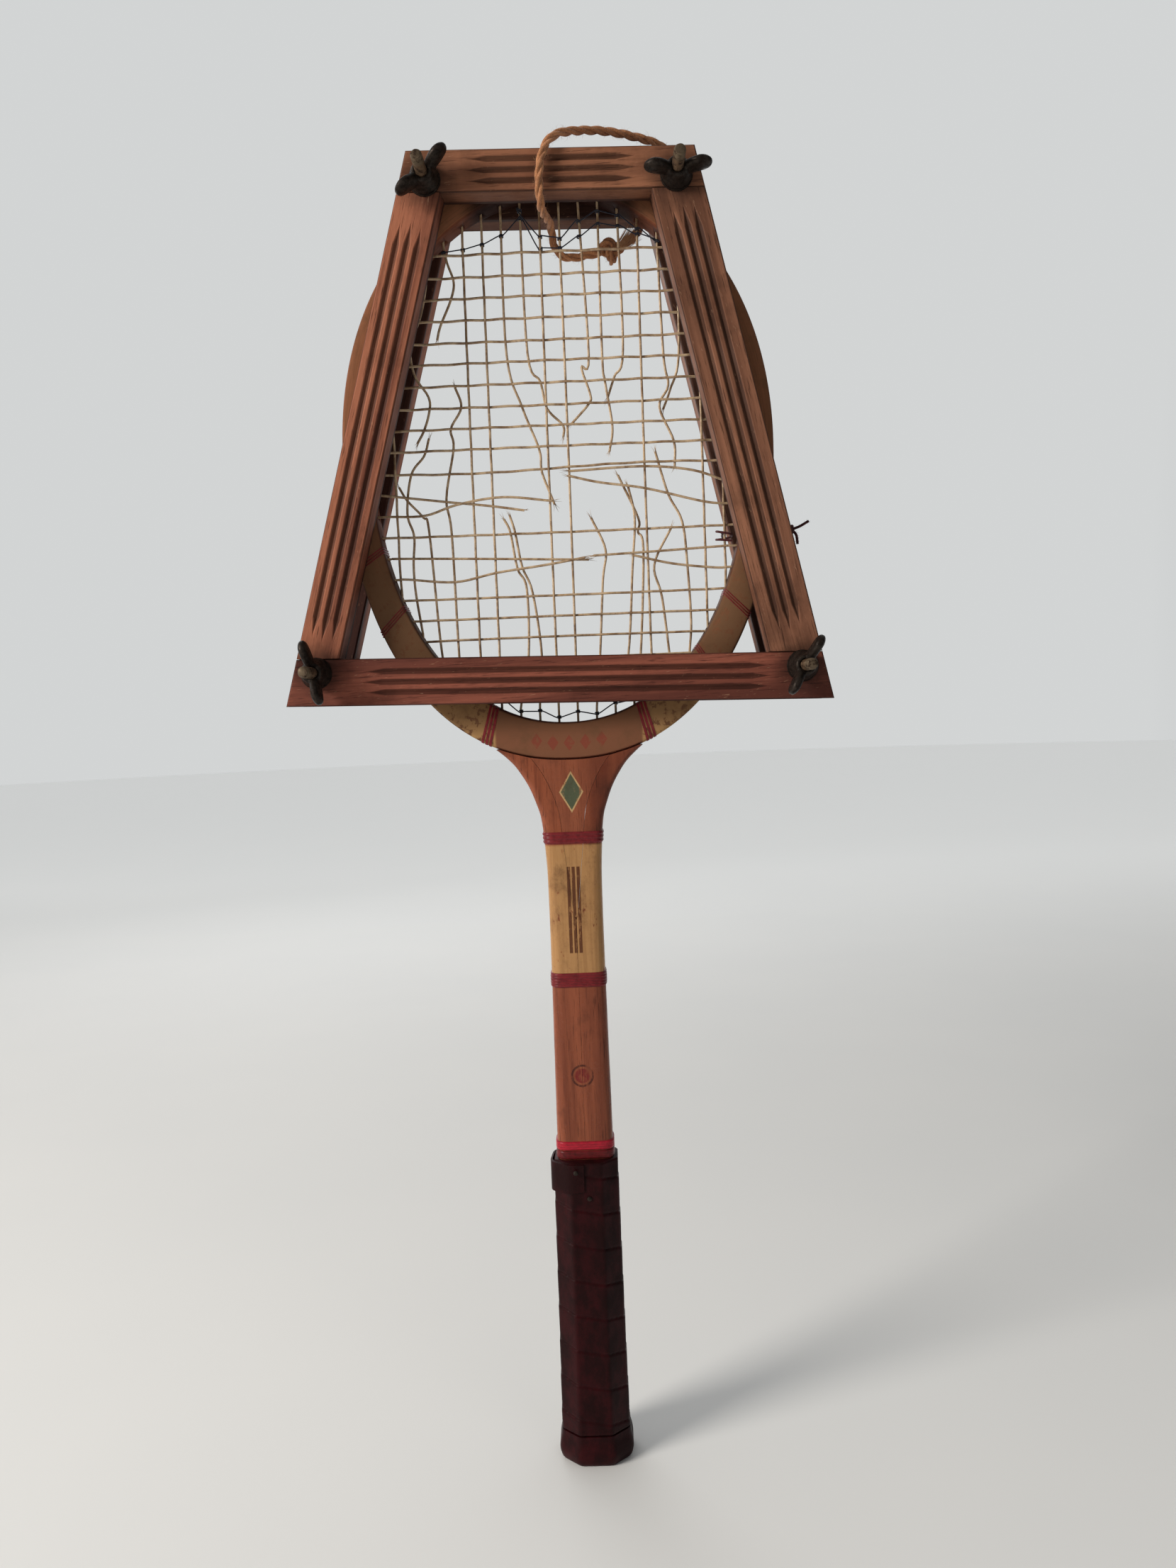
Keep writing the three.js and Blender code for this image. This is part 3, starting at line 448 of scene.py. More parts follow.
def wood_grain(finish, place_along, light, dark, stripe=1.0):
    """Grain colours from coordinates whose third axis runs along the grain."""
    broad = finish.noise(place_along, 0.05 * stripe, 4, 0.6, 0.6)
    fine = finish.noise(place_along, 0.55 * stripe, 5, 0.7)
    pores = finish.noise(place_along, 1.6 * stripe, 3, 0.6)
    finish.body = finish.mix(finish.ramp(broad, 0.32, 0.68), light, dark)
    finish.over(finish.ramp(fine, 0.45, 0.72, 0, 0.55), dark)
    finish.over(finish.ramp(pores, 0.56, 0.7, 0, 0.75), darker(dark, 0.35))
    return fine, pores


def press_wood(name, lean, light, dark):
    """Stained press wood, with painted shade in its flutes, on the faces between the bars and on its
    undersides. lean is how far the bar's length leans from straight up, in degrees.
    """
    finish = Finish(name)
    along = finish.mapped((1, 1, 0.045), (0, radians(-lean), 0))
    fine, pores = wood_grain(finish, along, light, dark)
    x, y, z = finish.axes()
    stain = None
    for place_x, place_z, _ in BOLT_PLACES.values():
        px, pz = press_point(place_x, place_z)
        away = finish.length(finish.minus(x, px), finish.minus(z, pz))
        stain = away if stain is None else finish.sums("MINIMUM", stain, away)
    cloud = finish.cloud(0.11, 4)
    stain = finish.plus(stain, finish.times(cloud, 14))
    finish.over(finish.ramp(stain, 13, 28, 0.62, 0), colour(34, 23, 19))
    grime = finish.cloud(0.03, 5, 0.65)
    finish.over(finish.ramp(grime, 0.5, 0.75, 0, 0.4), colour(46, 28, 22))
    depth = finish.sums("ABSOLUTE", y)
    # painted shade: the flutes sunk into the outer faces are darkened
    flute_shade = finish.band(depth, -PRESS_FACE_Y - 1.5, -PRESS_FACE_Y - 0.5, 0.4)
    finish.over(finish.times(flute_shade, 0.66), colour(30, 18, 14))
    # painted shade: the inner faces between the front and back bars are darkened nearly black
    finish.over(finish.ramp(depth, 14, 11.6, 0, 0.8), colour(30, 21, 23))
    # painted shade: faces that point downwards are darkened
    normal = finish.node("ShaderNodeSeparateXYZ", {
        0: finish.tree.nodes.new("ShaderNodeNewGeometry").outputs["Normal"],
    })
    finish.over(finish.ramp(normal.outputs[2], -0.6, -0.95, 0, 0.4), colour(48, 30, 25))
    scuff = finish.noise(finish.mapped((1.2, 1.2, 0.16), (0, radians(8 - lean), 0)), 1, 2, 0.8)
    finish.over(finish.ramp(scuff, 0.66, 0.74, 0, 0.4), colour(172, 132, 104))
    finish.paint()
    finish.rough(finish.ramp(grime, 0.3, 0.8, 0.55, 0.8))
    return finish.bump(finish.both(fine, 0.5, pores, -0.8), 0.45, 0.22).material


def hoop_wood():
    """Bent laminations: pale paint at the shoulders, red lozenges low down, darker by the press."""
    finish = Finish("hoop_wood")
    x, y, z = finish.axes()
    rise = finish.minus(z, HEAD_CENTRE_Z)
    squashed = finish.times(rise, 0.76)
    angle = finish.sums("ARCTAN2", squashed, x)
    radius = finish.length(x, squashed)
    polar = finish.node("ShaderNodeCombineXYZ", {0: radius, 1: y, 2: finish.times(angle, 5)})
    _, pores = wood_grain(finish, polar.outputs[0], colour(122, 72, 52), colour(78, 44, 33))
    layers = finish.sums("FRACT", finish.times(radius, 0.36))
    seam = finish.band(layers, 0.44, 0.5, 0.05)
    finish.over(finish.times(seam, 0.35), colour(66, 36, 24))
    chips = finish.cloud(0.22, 5, 0.7)
    shoulder = finish.band(z, 386, 470, 40)
    painted = finish.times(shoulder, finish.ramp(chips, 0.6, 0.52, 0, 0.88))
    gold = finish.mix(finish.ramp(z, 410, 440), colour(178, 140, 92), colour(84, 61, 46))
    finish.over(painted, gold)
    centre = finish.band(x, -38, 38, 1.5)
    low = finish.band(z, 370, 420, 10)
    finish.over(finish.times(centre, low), colour(104, 58, 46))
    front = finish.ramp(y, -8.4, -8.8, 0, 0.92)
    for column in range(-2, 3):
        place = 8.6 * column
        middle = (edge_z(INNER, place, -1) + edge_z(OUTER, place, -1)) / 2 - 1
        lozenge = finish.lozenge(x, z, place, middle, 3, 4.2)
        worn = finish.times(lozenge, finish.ramp(chips, 0.62, 0.52, 0.3, 1))
        finish.over(finish.times(worn, front), colour(112, 14, 30))
    grime = finish.cloud(0.05, 6, 0.7)
    finish.over(finish.ramp(grime, 0.48, 0.72, 0, 0.65), colour(58, 38, 30))
    # darker in a band level with the press's bottom bar
    near_press = finish.band(z, 405, 425, 9)
    finish.over(finish.times(near_press, 0.55), colour(52, 32, 24))
    edge = finish.ramp(finish.sums("ABSOLUTE", y), 7.4, 8.8, 0, 0.25)
    finish.over(edge, colour(170, 128, 92))
    top = finish.times(finish.ramp(z, 656, 666), finish.band(x, -36, 40, 12))
    finish.over(finish.times(top, 0.85), colour(24, 16, 17))
    finish.paint()
    finish.rough(finish.ramp(grime, 0.35, 0.75, 0.5, 0.75))
    finish.shader.inputs["Specular IOR Level"].default_value = 0.03
    return finish.bump(finish.both(chips, -0.4, pores, -0.4), 0.4, 0.2).material


def shaft_wood(name, light, dark, painted):
    """Varnished ash. If painted, with the straw-yellow stretch, its stripes, a ring and a badge."""
    finish = Finish(name)
    along = finish.mapped((1, 1, 0.04))
    fine, pores = wood_grain(finish, along, light, dark, 0.9)
    x, y, z = finish.axes()
    chips = finish.noise(finish.mapped((0.3, 0.3, 0.12)), 1, 5, 0.75)
    if painted:
        stretch = finish.band(z, *PALE_STRETCH, 1.5)
        straw = finish.mix(finish.ramp(fine, 0.4, 0.7, 0, 0.5), colour(176, 132, 86), colour(140, 98, 60))
        finish.over(finish.times(stretch, finish.ramp(chips, 0.68, 0.6, 0, 1)), straw)
        face = finish.ramp(y, -8.2, -8.8)
        tall = finish.band(z, *STRIPES, 0.4)
        for middle in (-3.2, -0.6, 2):
            stripe = finish.times(tall, finish.band(x, middle - 0.75, middle + 0.75, 0.25))
            stripe = finish.times(stripe, finish.ramp(chips, 0.62, 0.54, 0.35, 0.92))
            finish.over(finish.times(stripe, face), colour(86, 46, 28))
        off = finish.length(x, finish.minus(z, RING_Z))
        ring = finish.band(off, 5.2, 6, 0.25)
        disc = finish.ramp(off, 4.2, 3.7)
        for shape, paint in ((ring, colour(62, 28, 22)), (disc, colour(112, 30, 32))):
            seal = finish.times(finish.times(shape, face), finish.ramp(chips, 0.6, 0.5, 0.2, 0.85))
            finish.over(seal, paint)
        for half_x, half_z, paint in ((6.4, 11, colour(196, 164, 116)), (5.5, 9.6, colour(52, 74, 60))):
            badge = finish.times(finish.lozenge(x, z, 0, BADGE_Z, half_x, half_z), face)
            badge = finish.times(badge, finish.ramp(chips, 0.64, 0.56, 0.2, 0.9))
            finish.over(badge, paint)
    grime = finish.noise(finish.mapped((0.07, 0.07, 0.05)), 1, 6, 0.7)
    finish.over(finish.ramp(grime, 0.5, 0.75, 0, 0.6), colour(66, 36, 26))
    finish.paint()
    finish.rough(finish.ramp(grime, 0.35, 0.75, 0.2, 0.5))
    return finish.bump(finish.both(chips, -0.4, pores, -0.3), 0.35, 0.18).coat(0.16, 0.2).material


def leather(name, light, dark):
    """Old grip leather: pebbled, creased, darkened by hands and flecked lighter."""
    finish = Finish(name)
    pebble = finish.node("ShaderNodeTexVoronoi", {
        "Vector": finish.mapped(), "Scale": 1.3, "Randomness": 1,
    }, feature="SMOOTH_F1").outputs["Distance"]
    creases = finish.noise(finish.mapped((0.8, 0.8, 0.35)), 1, 6, 0.7, 1.2)
    wear = finish.noise(finish.mapped((0.09, 0.09, 0.06)), 1, 5, 0.65)
    finish.body = finish.mix(finish.ramp(wear, 0.36, 0.62), light, dark)
    finish.over(finish.ramp(creases, 0.54, 0.68, 0, 0.4), colour(18, 6, 7))
    flecks = finish.noise(finish.mapped((1.7, 1.7, 1.1)), 1, 3, 0.7)
    finish.over(finish.ramp(flecks, 0.7, 0.76, 0, 0.35), colour(120, 70, 64))
    finish.paint()
    finish.rough(finish.ramp(wear, 0.3, 0.7, 0.34, 0.52))
    finish.shader.inputs["Specular IOR Level"].default_value = 0.09
    return finish.bump(finish.both(pebble, 0.4, creases, 0.6), 0.4, 0.2).material


def binding(name, light, dark, thread=0.55, level=True):
    """Varnished thread wound close round the wood."""
    finish = Finish(name, 0.35)
    x, _, z = finish.axes()
    turn = finish.sums("FRACT", finish.sums("DIVIDE", z if level else finish.plus(x, z), thread))
    ridge = finish.sums("SINE", finish.times(turn, pi))
    patch = finish.cloud(0.4, 5, 0.7)
    finish.body = finish.mix(finish.ramp(patch, 0.36, 0.76, 0, 0.8), light, dark)
    # painted shade in the grooves between the turns of thread
    finish.over(finish.ramp(ridge, 0.5, 0.0, 0, 0.4), colour(28, 10, 10))
    finish.paint()
    return finish.bump(ridge, 0.5, 0.15).coat(0.15, 0.3).material


def gut():
    """Aged string: amber-grey, a little translucent, with specks and dirt."""
    finish = Finish("gut", 0.42)
    dirt = finish.cloud(0.12, 5, 0.7)
    finish.body = finish.mix(finish.ramp(dirt, 0.38, 0.66), colour(196, 170, 138), colour(134, 106, 80))
    specks = finish.cloud(0.9, 3, 0.7)
    finish.over(finish.ramp(specks, 0.6, 0.7, 0, 0.6), colour(58, 44, 36))
    finish.paint()
    finish.shader.inputs["Subsurface Weight"].default_value = 0.15
    finish.shader.inputs["Subsurface Radius"].default_value = (0.001, 0.0007, 0.0004)
    return finish.bump(specks, 0.3, 0.08).coat(0.25, 0.3).material


def twisted(name, light, dark, scale=1.0, roughness=0.9):
    """Fibres and dirt of a twisted cord."""
    finish = Finish(name, roughness)
    fibres = finish.noise(finish.mapped((2.4 * scale, 2.4 * scale, 1.1 * scale)), 1, 4, 0.7, 1.5)
    dirt = finish.cloud(0.2 * scale, 4, 0.6)
    finish.body = finish.mix(finish.ramp(fibres, 0.34, 0.68), light, dark)
    finish.over(finish.ramp(dirt, 0.5, 0.7, 0, 0.5), darker(dark, 0.4))
    finish.paint()
    finish.shader.inputs["Sheen Weight"].default_value = 0.25
    return finish.bump(fibres, 0.8, 0.25).material


def metal(name, light, dark, roughness, metallic, rust=None, bright_beyond=None):
    """Old metal. With bright_beyond, it is rubbed bright where y is lower than that."""
    finish = Finish(name, roughness, metallic)
    patch = finish.cloud(0.35, 6, 0.7)
    pits = finish.cloud(2.2, 3, 0.6)
    finish.body = finish.mix(finish.ramp(patch, 0.4, 0.65), light, dark)
    if rust:
        finish.over(finish.ramp(patch, 0.56, 0.7, 0, 0.7), rust)
    if bright_beyond is not None:
        worn = finish.ramp(finish.axes()[1], bright_beyond, bright_beyond - 3, 0, 0.8)
        worn = finish.times(worn, finish.ramp(patch, 0.62, 0.5))
        finish.over(worn, colour(100, 87, 71))
    finish.paint()
    finish.rough(finish.ramp(patch, 0.35, 0.7, roughness - 0.1, roughness + 0.2))
    return finish.bump(pits, 0.5, 0.15).material


def pale_floor():
    """A pale floor that glows faintly far behind the racket, painted light so that it fades into the backdrop.
    """
    finish = Finish("pale_floor", 0.6)
    cloud = finish.cloud(0.004, 2)
    finish.body = finish.mix(cloud, colour(226, 226, 225), colour(232, 231, 229))
    finish.paint()
    # painted light: the floor glows, more the farther behind the racket
    glow = finish.ramp(finish.axes()[1], 300, 2400, 0, 0.3)
    finish.tree.links.new(glow, finish.shader.inputs["Emission Strength"])
    finish.shader.inputs["Emission Color"].default_value = (0.98, 1, 1, 1)
    return finish.material


# ---- camera, floor and light

def set_camera():
    """The camera stands a little over half a metre in front, level with the foot of the press."""
    right = Vector((1, 0.011, -0.040)).normalized()
    forward = Vector((-0.011, 1, -0.0665)).normalized()
    down = forward.cross(right).normalized()
    data = bpy.data.cameras.new("camera")
    data.sensor_fit = "VERTICAL"
    data.sensor_height = 36
    data.lens = LENS
    data.clip_start = 0.01
    camera = link("camera", data)
    turn = Matrix((right, -down, -forward)).transposed()
    camera.matrix_world = Matrix.Translation(Vector(CAMERA_PLACE) * MM) @ turn.to_4x4()
    bpy.context.scene.camera = camera


def area_light(name, place, target, size, power, tint=(1, 1, 1)):
    data = bpy.data.lights.new(name, "AREA")
    data.shape = "DISK"
    data.size = size
    data.energy = power
    data.color = tint
    light = link(name, data)
    light.location = place
    light.rotation_euler = (Vector(target) - Vector(place)).to_track_quat("-Z", "Y").to_euler()


def node_ramp(tree, value, low, high, to_low, to_high):
    node = tree.nodes.new("ShaderNodeMapRange")
    for name, number in (("From Min", low), ("From Max", high), ("To Min", to_low), ("To Max", to_high)):
        node.inputs[name].default_value = number
    tree.links.new(value, node.inputs["Value"])
    return node.outputs[0]


def set_backdrop():
    """A pale studio all round, darker behind the camera and far out on the right."""
    world = bpy.data.worlds.new("studio")
    world.use_nodes = True
    tree = world.node_tree
    background = tree.nodes["Background"]
    background.inputs["Color"].default_value = (0.98, 1, 1, 1)
    direction = tree.nodes.new("ShaderNodeSeparateXYZ")
    tree.links.new(tree.nodes.new("ShaderNodeTexCoord").outputs["Generated"], direction.inputs[0])
    product = tree.nodes.new("ShaderNodeMath")
    product.operation = "MULTIPLY"
    tree.links.new(node_ramp(tree, direction.outputs["Y"], -0.7, 0.7, 0.14, 0.66), product.inputs[0])
    tree.links.new(node_ramp(tree, direction.outputs["X"], 0.42, 0.9, 1, 0.25), product.inputs[1])
    tree.links.new(product.outputs[0], background.inputs["Strength"])
    bpy.context.scene.world = world


def set_stage():
    bm = bmesh.new()
    bmesh.ops.create_circle(bm, cap_ends=True, segments=64, radius=9)
    mesh = bpy.data.meshes.new("floor")
    bm.to_mesh(mesh)
    bm.free()
    link("floor", mesh, pale_floor())
    area_light("key", (-1.75, -1.05, 1.2), (0, 0, 0.42), 0.8, 44, (1, 0.95, 0.88))
    area_light("fill", (1.0, -1.3, 0.9), (0, 0, 0.45), 1.2, 1.6, (1, 0.96, 0.92))
    area_light("back", (-0.6, 1.5, 1.3), (0, 0, 0.5), 1.2, 6)
    bpy.context.scene.view_settings.view_transform = "Standard"


# ---- rope and tie

ROPE_LOWER = [
    (25.4, 10.6, 650.2), (23, 9, 649.4), (18, 7.6, 648.2), (12.8, 7, 647.3), (8.4, 6.8, 647.5),
    (4.9, 6.7, 649.3), (2.5, 6.5, 652.6), (1.5, 5.7, 656.4), (1, 3.6, 659.3), (0.8, 0.9, 661),
]
ROPE_FRONT = [
    (0.5, -2.4, 661.6), (-0.5, -8, 661.4), (-1.6, -14, 661), (-2.6, -19.6, 661), (-3.2, -24.2, 662.3),
    (-3.5, -27.4, 665.4), (-3.5, -28.9, 669.6), (-3.2, -29, 676), (-2.2, -28.9, 682), (0, -28.8, 688),
    (3.4, -27.6, 692.8), (8.6, -23.6, 696.8), (16.7, -17, 700.4), (26, -10.8, 703), (36, -5, 704.2),
]
ROPE_BACK = [
    (45, -0.6, 704), (54, 4.4, 703.6), (61, 10.4, 702.8), (65, 17, 700.2), (65.4, 23.8, 695.8),
    (61.8, 28.2, 689.6), (57, 28.6, 683), (52, 28.4, 676), (47.4, 28, 667.6), (43.4, 24.6, 661.6),
    (40, 19.5, 658.4), (38.2, 17, 656),
]
ROPE_KNOT = Vector((32, 14, 652.6))
TIE = [
    (121.5, 4, 500.4), (123, 12, 500), (122.5, 20, 500), (120.5, 26, 500), (114, 27.6, 500),
    (104, 27.6, 500.4), (94, 27.4, 500.8), (88.4, 25, 501), (86.6, 18, 501), (86, 10, 501),
    (84.8, 5, 501.2), (82.6, 2.6, 501.4), (81.8, 0, 501), (83, -2.8, 500.4), (86, -3.4, 499.8),
    (89, -2.6, 499.2), (90, 0.4, 498.6), (88.6, 3.2, 498), (85.6, 4, 497.6), (82.6, 3, 497.2),
    (81.6, 0.4, 496.8), (82.8, -2.4, 496.4), (86, -3.2, 496), (89.6, -3, 495.6),
]
TIE_KNOT = Vector((121, 0, 500.6))


def rope_section(lay):
    """Three round strands laid round each other once every lay millimetres."""
    strand = 0.235 * ROPE_DIAMETER
    middle = 0.265 * ROPE_DIAMETER
    third = 2 * pi / 3

    def radius(walked, angle):
        off = (angle - 2 * pi * walked / lay + third / 2) % third - third / 2
        across = middle * sin(off)
        return middle * cos(off) + sqrt(max(0, strand ** 2 - across ** 2))
    return radius


def scatter():
    """A random offset of up to 1 either way on each axis."""
    return Vector([random.uniform(-1, 1) for _ in range(3)])


def fuzz(name, route, radius, count, reach, material):
    """Loose fibres that stand out of a cord, each a short bent hair."""
    hairs = []
    for _ in range(count):
        i = random.randrange(1, len(route) - 1)
        along = (route[i + 1] - route[i - 1]).normalized()
        out = Vector([random.gauss(0, 1) for _ in range(3)])
        out = (out - along * out.dot(along)).normalized()
        root = route[i] + out * radius * 0.8
        lean = along * random.uniform(-1, 1)
        length = reach * random.uniform(0.3, 1)
        middle = root + (out + lean * 0.6) * length * 0.5
        tip = root + (out * 0.75 + lean * 1.3) * length
        hairs.append([root, middle, tip])
    return meshed(curve_piece(name, hairs, 0.05, material, 0, taper=True))


def overhand_knot(centre, size, turn):
    """The route of an overhand knot: a trefoil, turned about the vertical."""
    spin = Matrix.Rotation(turn, 3, "Z")
    points = []
    for k in range(49):
        t = 2 * pi * k / 48
        across = sin(t) + 2 * sin(2 * t)
        up = cos(t) - 2 * cos(2 * t)
        shape = Vector((across, -1.3 * sin(3 * t), up))
        points.append(centre + spin @ shape * size)
    return points


def make_rope(jute, fibre):
    route = evenly(smooth_route(ROPE_LOWER + ROPE_FRONT + ROPE_BACK, 8), 0.7)
    rope = mesh_piece("rope", *tube(route, rope_section(ROPE_LAY)), jute, 60)
    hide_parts("rope_lower", "rope_front", "rope_back")
    knot_route = evenly(overhand_knot(ROPE_KNOT, KNOT_SIZE, 0.5), 0.6)
    knot = mesh_piece("rope_knot_tied", *tube(knot_route, rope_section(ROPE_LAY)), jute, 60)
    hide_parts("rope_knot")
    tail_start = ROPE_KNOT + Vector((4, -2, 1))
    strands = []
    for _ in range(170):
        spread = scatter()
        strands.append(smooth_route([
            tail_start + spread * 1.6, tail_start + Vector((3.5, -1, 2)) + spread * 2.9,
            tail_start + Vector((8.6, -1, 7)) + spread * 4.6,
        ], 4))
    tail = curve_piece("rope_tail", strands, 0.17, fibre, 1, taper=True)
    hair = fuzz("rope_fuzz", route, ROPE_DIAMETER / 2, 420, 3.6, fibre)
    knot_hair = fuzz("rope_knot_fuzz", knot_route, ROPE_DIAMETER / 2, 150, 3.2, fibre)
    for piece in (knot, tail, knot_hair):
        settle(piece)
    for piece in (rope, hair):
        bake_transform(piece)


def make_tie(cord_finish):
    route = evenly(smooth_route(TIE, 6), 0.8)
    tie = curve_piece("tie", [route], TIE_DIAMETER / 2, cord_finish)
    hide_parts("tie_cord")
    knot_route = overhand_knot(TIE_KNOT, 0.75, 1.2)
    knot = curve_piece("tie_knot_tied", [knot_route], 0.75, cord_finish)
    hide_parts("tie_knot")
    thick = smooth_route([TIE_KNOT, TIE_KNOT + Vector((4, -2, 1)), TIE_KNOT + Vector((9, -3, 3.6))], 6)
    thin = smooth_route([TIE_KNOT, TIE_KNOT + Vector((2.4, -1.5, -3)), TIE_KNOT + Vector((3, -2, -8))], 6)
    tails = curve_piece("tie_tails", [thick, thin], 0.7, cord_finish)
    hair = fuzz("tie_fuzz", [*thick, *thin], 0.5, 70, 2.2, cord_finish)
    for piece in (tie, knot, tails, hair):
        settle(piece)


# ---- the hoop

def edge_point(edge, angle):
    cosine = cos(angle)
    sine = sin(angle)
    reach = edge["up"] if sine >= 0 else edge["down"]
    power = 2 / (edge["power_up"] if sine >= 0 else edge["power_down"])
    return Vector((
        edge["half_width"] * copysign(abs(cosine) ** power, cosine),
        0,
        HEAD_CENTRE_Z + reach * copysign(abs(sine) ** power, sine),
    ))


def edge_z(edge, x, side):
    power = edge["power_up"] if side > 0 else edge["power_down"]
    reach = edge["up"] if side > 0 else edge["down"]
    return HEAD_CENTRE_Z + side * reach * (1 - (abs(x) / edge["half_width"]) ** power) ** (1 / power)


def edge_x(edge, z):
    power = edge["power_up"] if z >= HEAD_CENTRE_Z else edge["power_down"]
    reach = edge["up"] if z >= HEAD_CENTRE_Z else edge["down"]
    share = min(1, abs(z - HEAD_CENTRE_Z) / reach)
    return edge["half_width"] * (1 - share ** power) ** (1 / power)


def with_back(front):
    """The front half of a hoop's section and the same again behind."""
    return front + [(edge, distance, -y) for edge, distance, y in reversed(front)]


def hoop_rings(section, start, end, steps, slant=0.0):
    """The hoop's section carried round. Each point is (inner or outer edge, outward, y).

    slant is how far round the outer edge is ahead of the inner one.
    """
    rings = []
    for i in range(steps):
        angle = start + (end - start) * i / steps
        inner = edge_point(INNER, angle)
        outer = edge_point(OUTER, angle + slant)
        outward = (outer - inner).normalized()
        rings.append([
            (inner if edge == "in" else outer) + outward * distance + Vector((0, y, 0))
            for edge, distance, y in section
        ])
    return rings


def rod(x, y, z, half, along_x, radius=1.15, sides=12):
    rings = []
    for end in (-half, half):
        round_it = [(radius * a, radius * b) for a, b in circle(sides)]
        rings.append([(x + end, y + a, z + b) if along_x else (x + a, y + b, z + end) for a, b in round_it])
    return skin(rings)


def main_x(i):
    return (i - (MAIN["count"] - 1) / 2) * MAIN["pitch"]


def cross_z(j):
    return CROSS["top"] - j * CROSS["pitch"]


def main_drills():
    drills = []
    for i in range(MAIN["count"]):
        for side in (1, -1):
            inner = edge_z(INNER, main_x(i), side)
            outer = edge_z(OUTER, main_x(i), side)
            drills.append(rod(main_x(i), MAIN["y"], (inner + outer) / 2, abs(outer - inner) / 2 + 4, False))
    return drills


def cross_drills():
    drills = []
    for j in range(CROSS["count"]):
        inner = edge_x(INNER, cross_z(j))
        outer = edge_x(OUTER, cross_z(j))
        half = (outer - inner) / 2 + 4
        for side in (1, -1):
            drills.append(rod(side * (inner + outer) / 2, CROSS["y"], cross_z(j), half, True))
    return drills


def make_hoop(wood):
    front = [
        ("in", 0, -6), ("in", 0.15, -7.4), ("in", 0.8, -8.5), ("in", 2, -9), ("out", -2.6, -9),
        ("out", -1.1, -8.6), ("out", -0.3, -7.6), ("out", 0, -6), ("out", 0, -GROOVE["half_width"] - 0.3),
        ("out", -0.3, -GROOVE["half_width"]), ("out", -GROOVE["depth"], -1.5),
    ]
    section = with_back(front)
    hoop = mesh_piece("hoop", *skin(hoop_rings(section, 0, 2 * pi, 240), closed=True), wood, 32)
    for drills in (main_drills(), cross_drills()):
        cutter = mesh_piece("drills", *merged(drills), wood)
        cut = hoop.modifiers.new("holes", "BOOLEAN")
        cut.operation = "DIFFERENCE"
        cut.solver = "MANIFOLD"
        cut.object = cutter
        bake(hoop)
        bpy.data.objects.remove(cutter)
    settle(hoop, "head_hoop")


# ---- strings

# The snapped strings' loose ends: the string's number, the side it comes from, then its (x, z) points.
STRAY_MAINS = {
    (1, "up"): [(-75, 593), (-67, 577), (-67, 569), (-70, 560), (-74, 553)],
    (1, "down"): [(-78.5, 475), (-79, 490), (-78, 505), (-81, 517), (-78, 537), (-71, 547), (-68, 556)],
    (2, "up"): [(-66, 632), (-71, 614), (-80, 602)],
    (2, "down"): [(-67, 455), (-70, 508), (-73, 515), (-81, 524), (-85, 531)],
    (3, "up"): [(-54, 645), (-51, 635), (-53, 626), (-59, 613), (-61, 606)],
    (3, "down"): [(-57, 441), (-58, 505), (-60, 524), (-55, 550), (-56, 560), (-50, 571), (-53, 582)],
    (6, "up"): [(-25, 597), (-18, 570), (-10, 548), (-9, 536), (-3, 519)],
    (6, "down"): [(-25, 414), (-20, 440), (-19.5, 475), (-24, 486), (-27, 505), (-30, 512)],
    (7, "up"): [(-14, 597), (-8, 583), (-5, 569), (3, 560), (3, 554)],
    (7, "down"): [(-15, 414), (-13, 440), (-16.5, 473), (-21.5, 487), (-24.5, 505), (-27, 514)],
    (10, "up"): [(18, 595), (14, 589), (18, 575), (17, 570), (7.5, 560)],
    (10, "down"): [(15.5, 414), (18, 438), (21, 478), (23, 494), (16, 511)],
    (11, "up"): [(25, 595), (26, 581), (29, 558), (27, 545)],
    (11, "down"): [(26, 415), (33, 438), (37, 485), (39, 510), (36, 527)],
    (12, "up"): [(36, 597), (31, 584), (27, 573)],
    (12, "down"): [(39.5, 437), (43, 493), (40.5, 503), (41, 510), (31, 533)],
    (14, "up"): [(57, 594), (59, 578), (54, 567), (61, 549), (61, 536)],
    (14, "down"): [(55, 437), (52, 468), (48.5, 485), (58, 504)],
    (15, "up"): [(65, 593), (60, 576), (56, 566)],
    (15, "down"): [(67, 455), (66, 484), (64, 507), (57, 522), (51, 544)],
}
STRAY_CROSSES = {
    (11, "left"): [(-92, 526.4), (-60, 522), (-37, 519), (-19, 516)],
    (12, "left"): [(-90, 515.4), (-71, 515), (-54, 520), (-30, 523), (-4, 520)],
    (11, "right"): [(88, 527), (70, 533), (44, 536), (5, 535)],
    (12, "right"): [(88, 515.4), (75, 517), (45, 525), (21, 529), (5, 533)],
    (14, "left"): [(-85, 493.3), (-40, 491.5), (14, 489)],
    (14, "right"): [(85, 493.3), (50, 492), (16.5, 491)],
    (15, "left"): [(-82, 482.3), (-57, 480), (-35, 484), (-8, 487), (12, 490)],
    (15, "right"): [(80, 482.3), (58, 485), (38, 490)],
}
# The loose ends that lie clear of the net, each with the first of its points that does.
CLEAR_MAINS = {
    (1, "down"): 5, (2, "down"): 2, (6, "up"): 1, (7, "up"): 1, (12, "up"): 1, (12, "down"): 2,
    (15, "up"): 1,
}
CLEAR_CROSSES = {(12, "left"): 1, (11, "right"): 1, (15, "left"): 3, (15, "right"): 1}
CLEAR_DISTANCE = 2.7
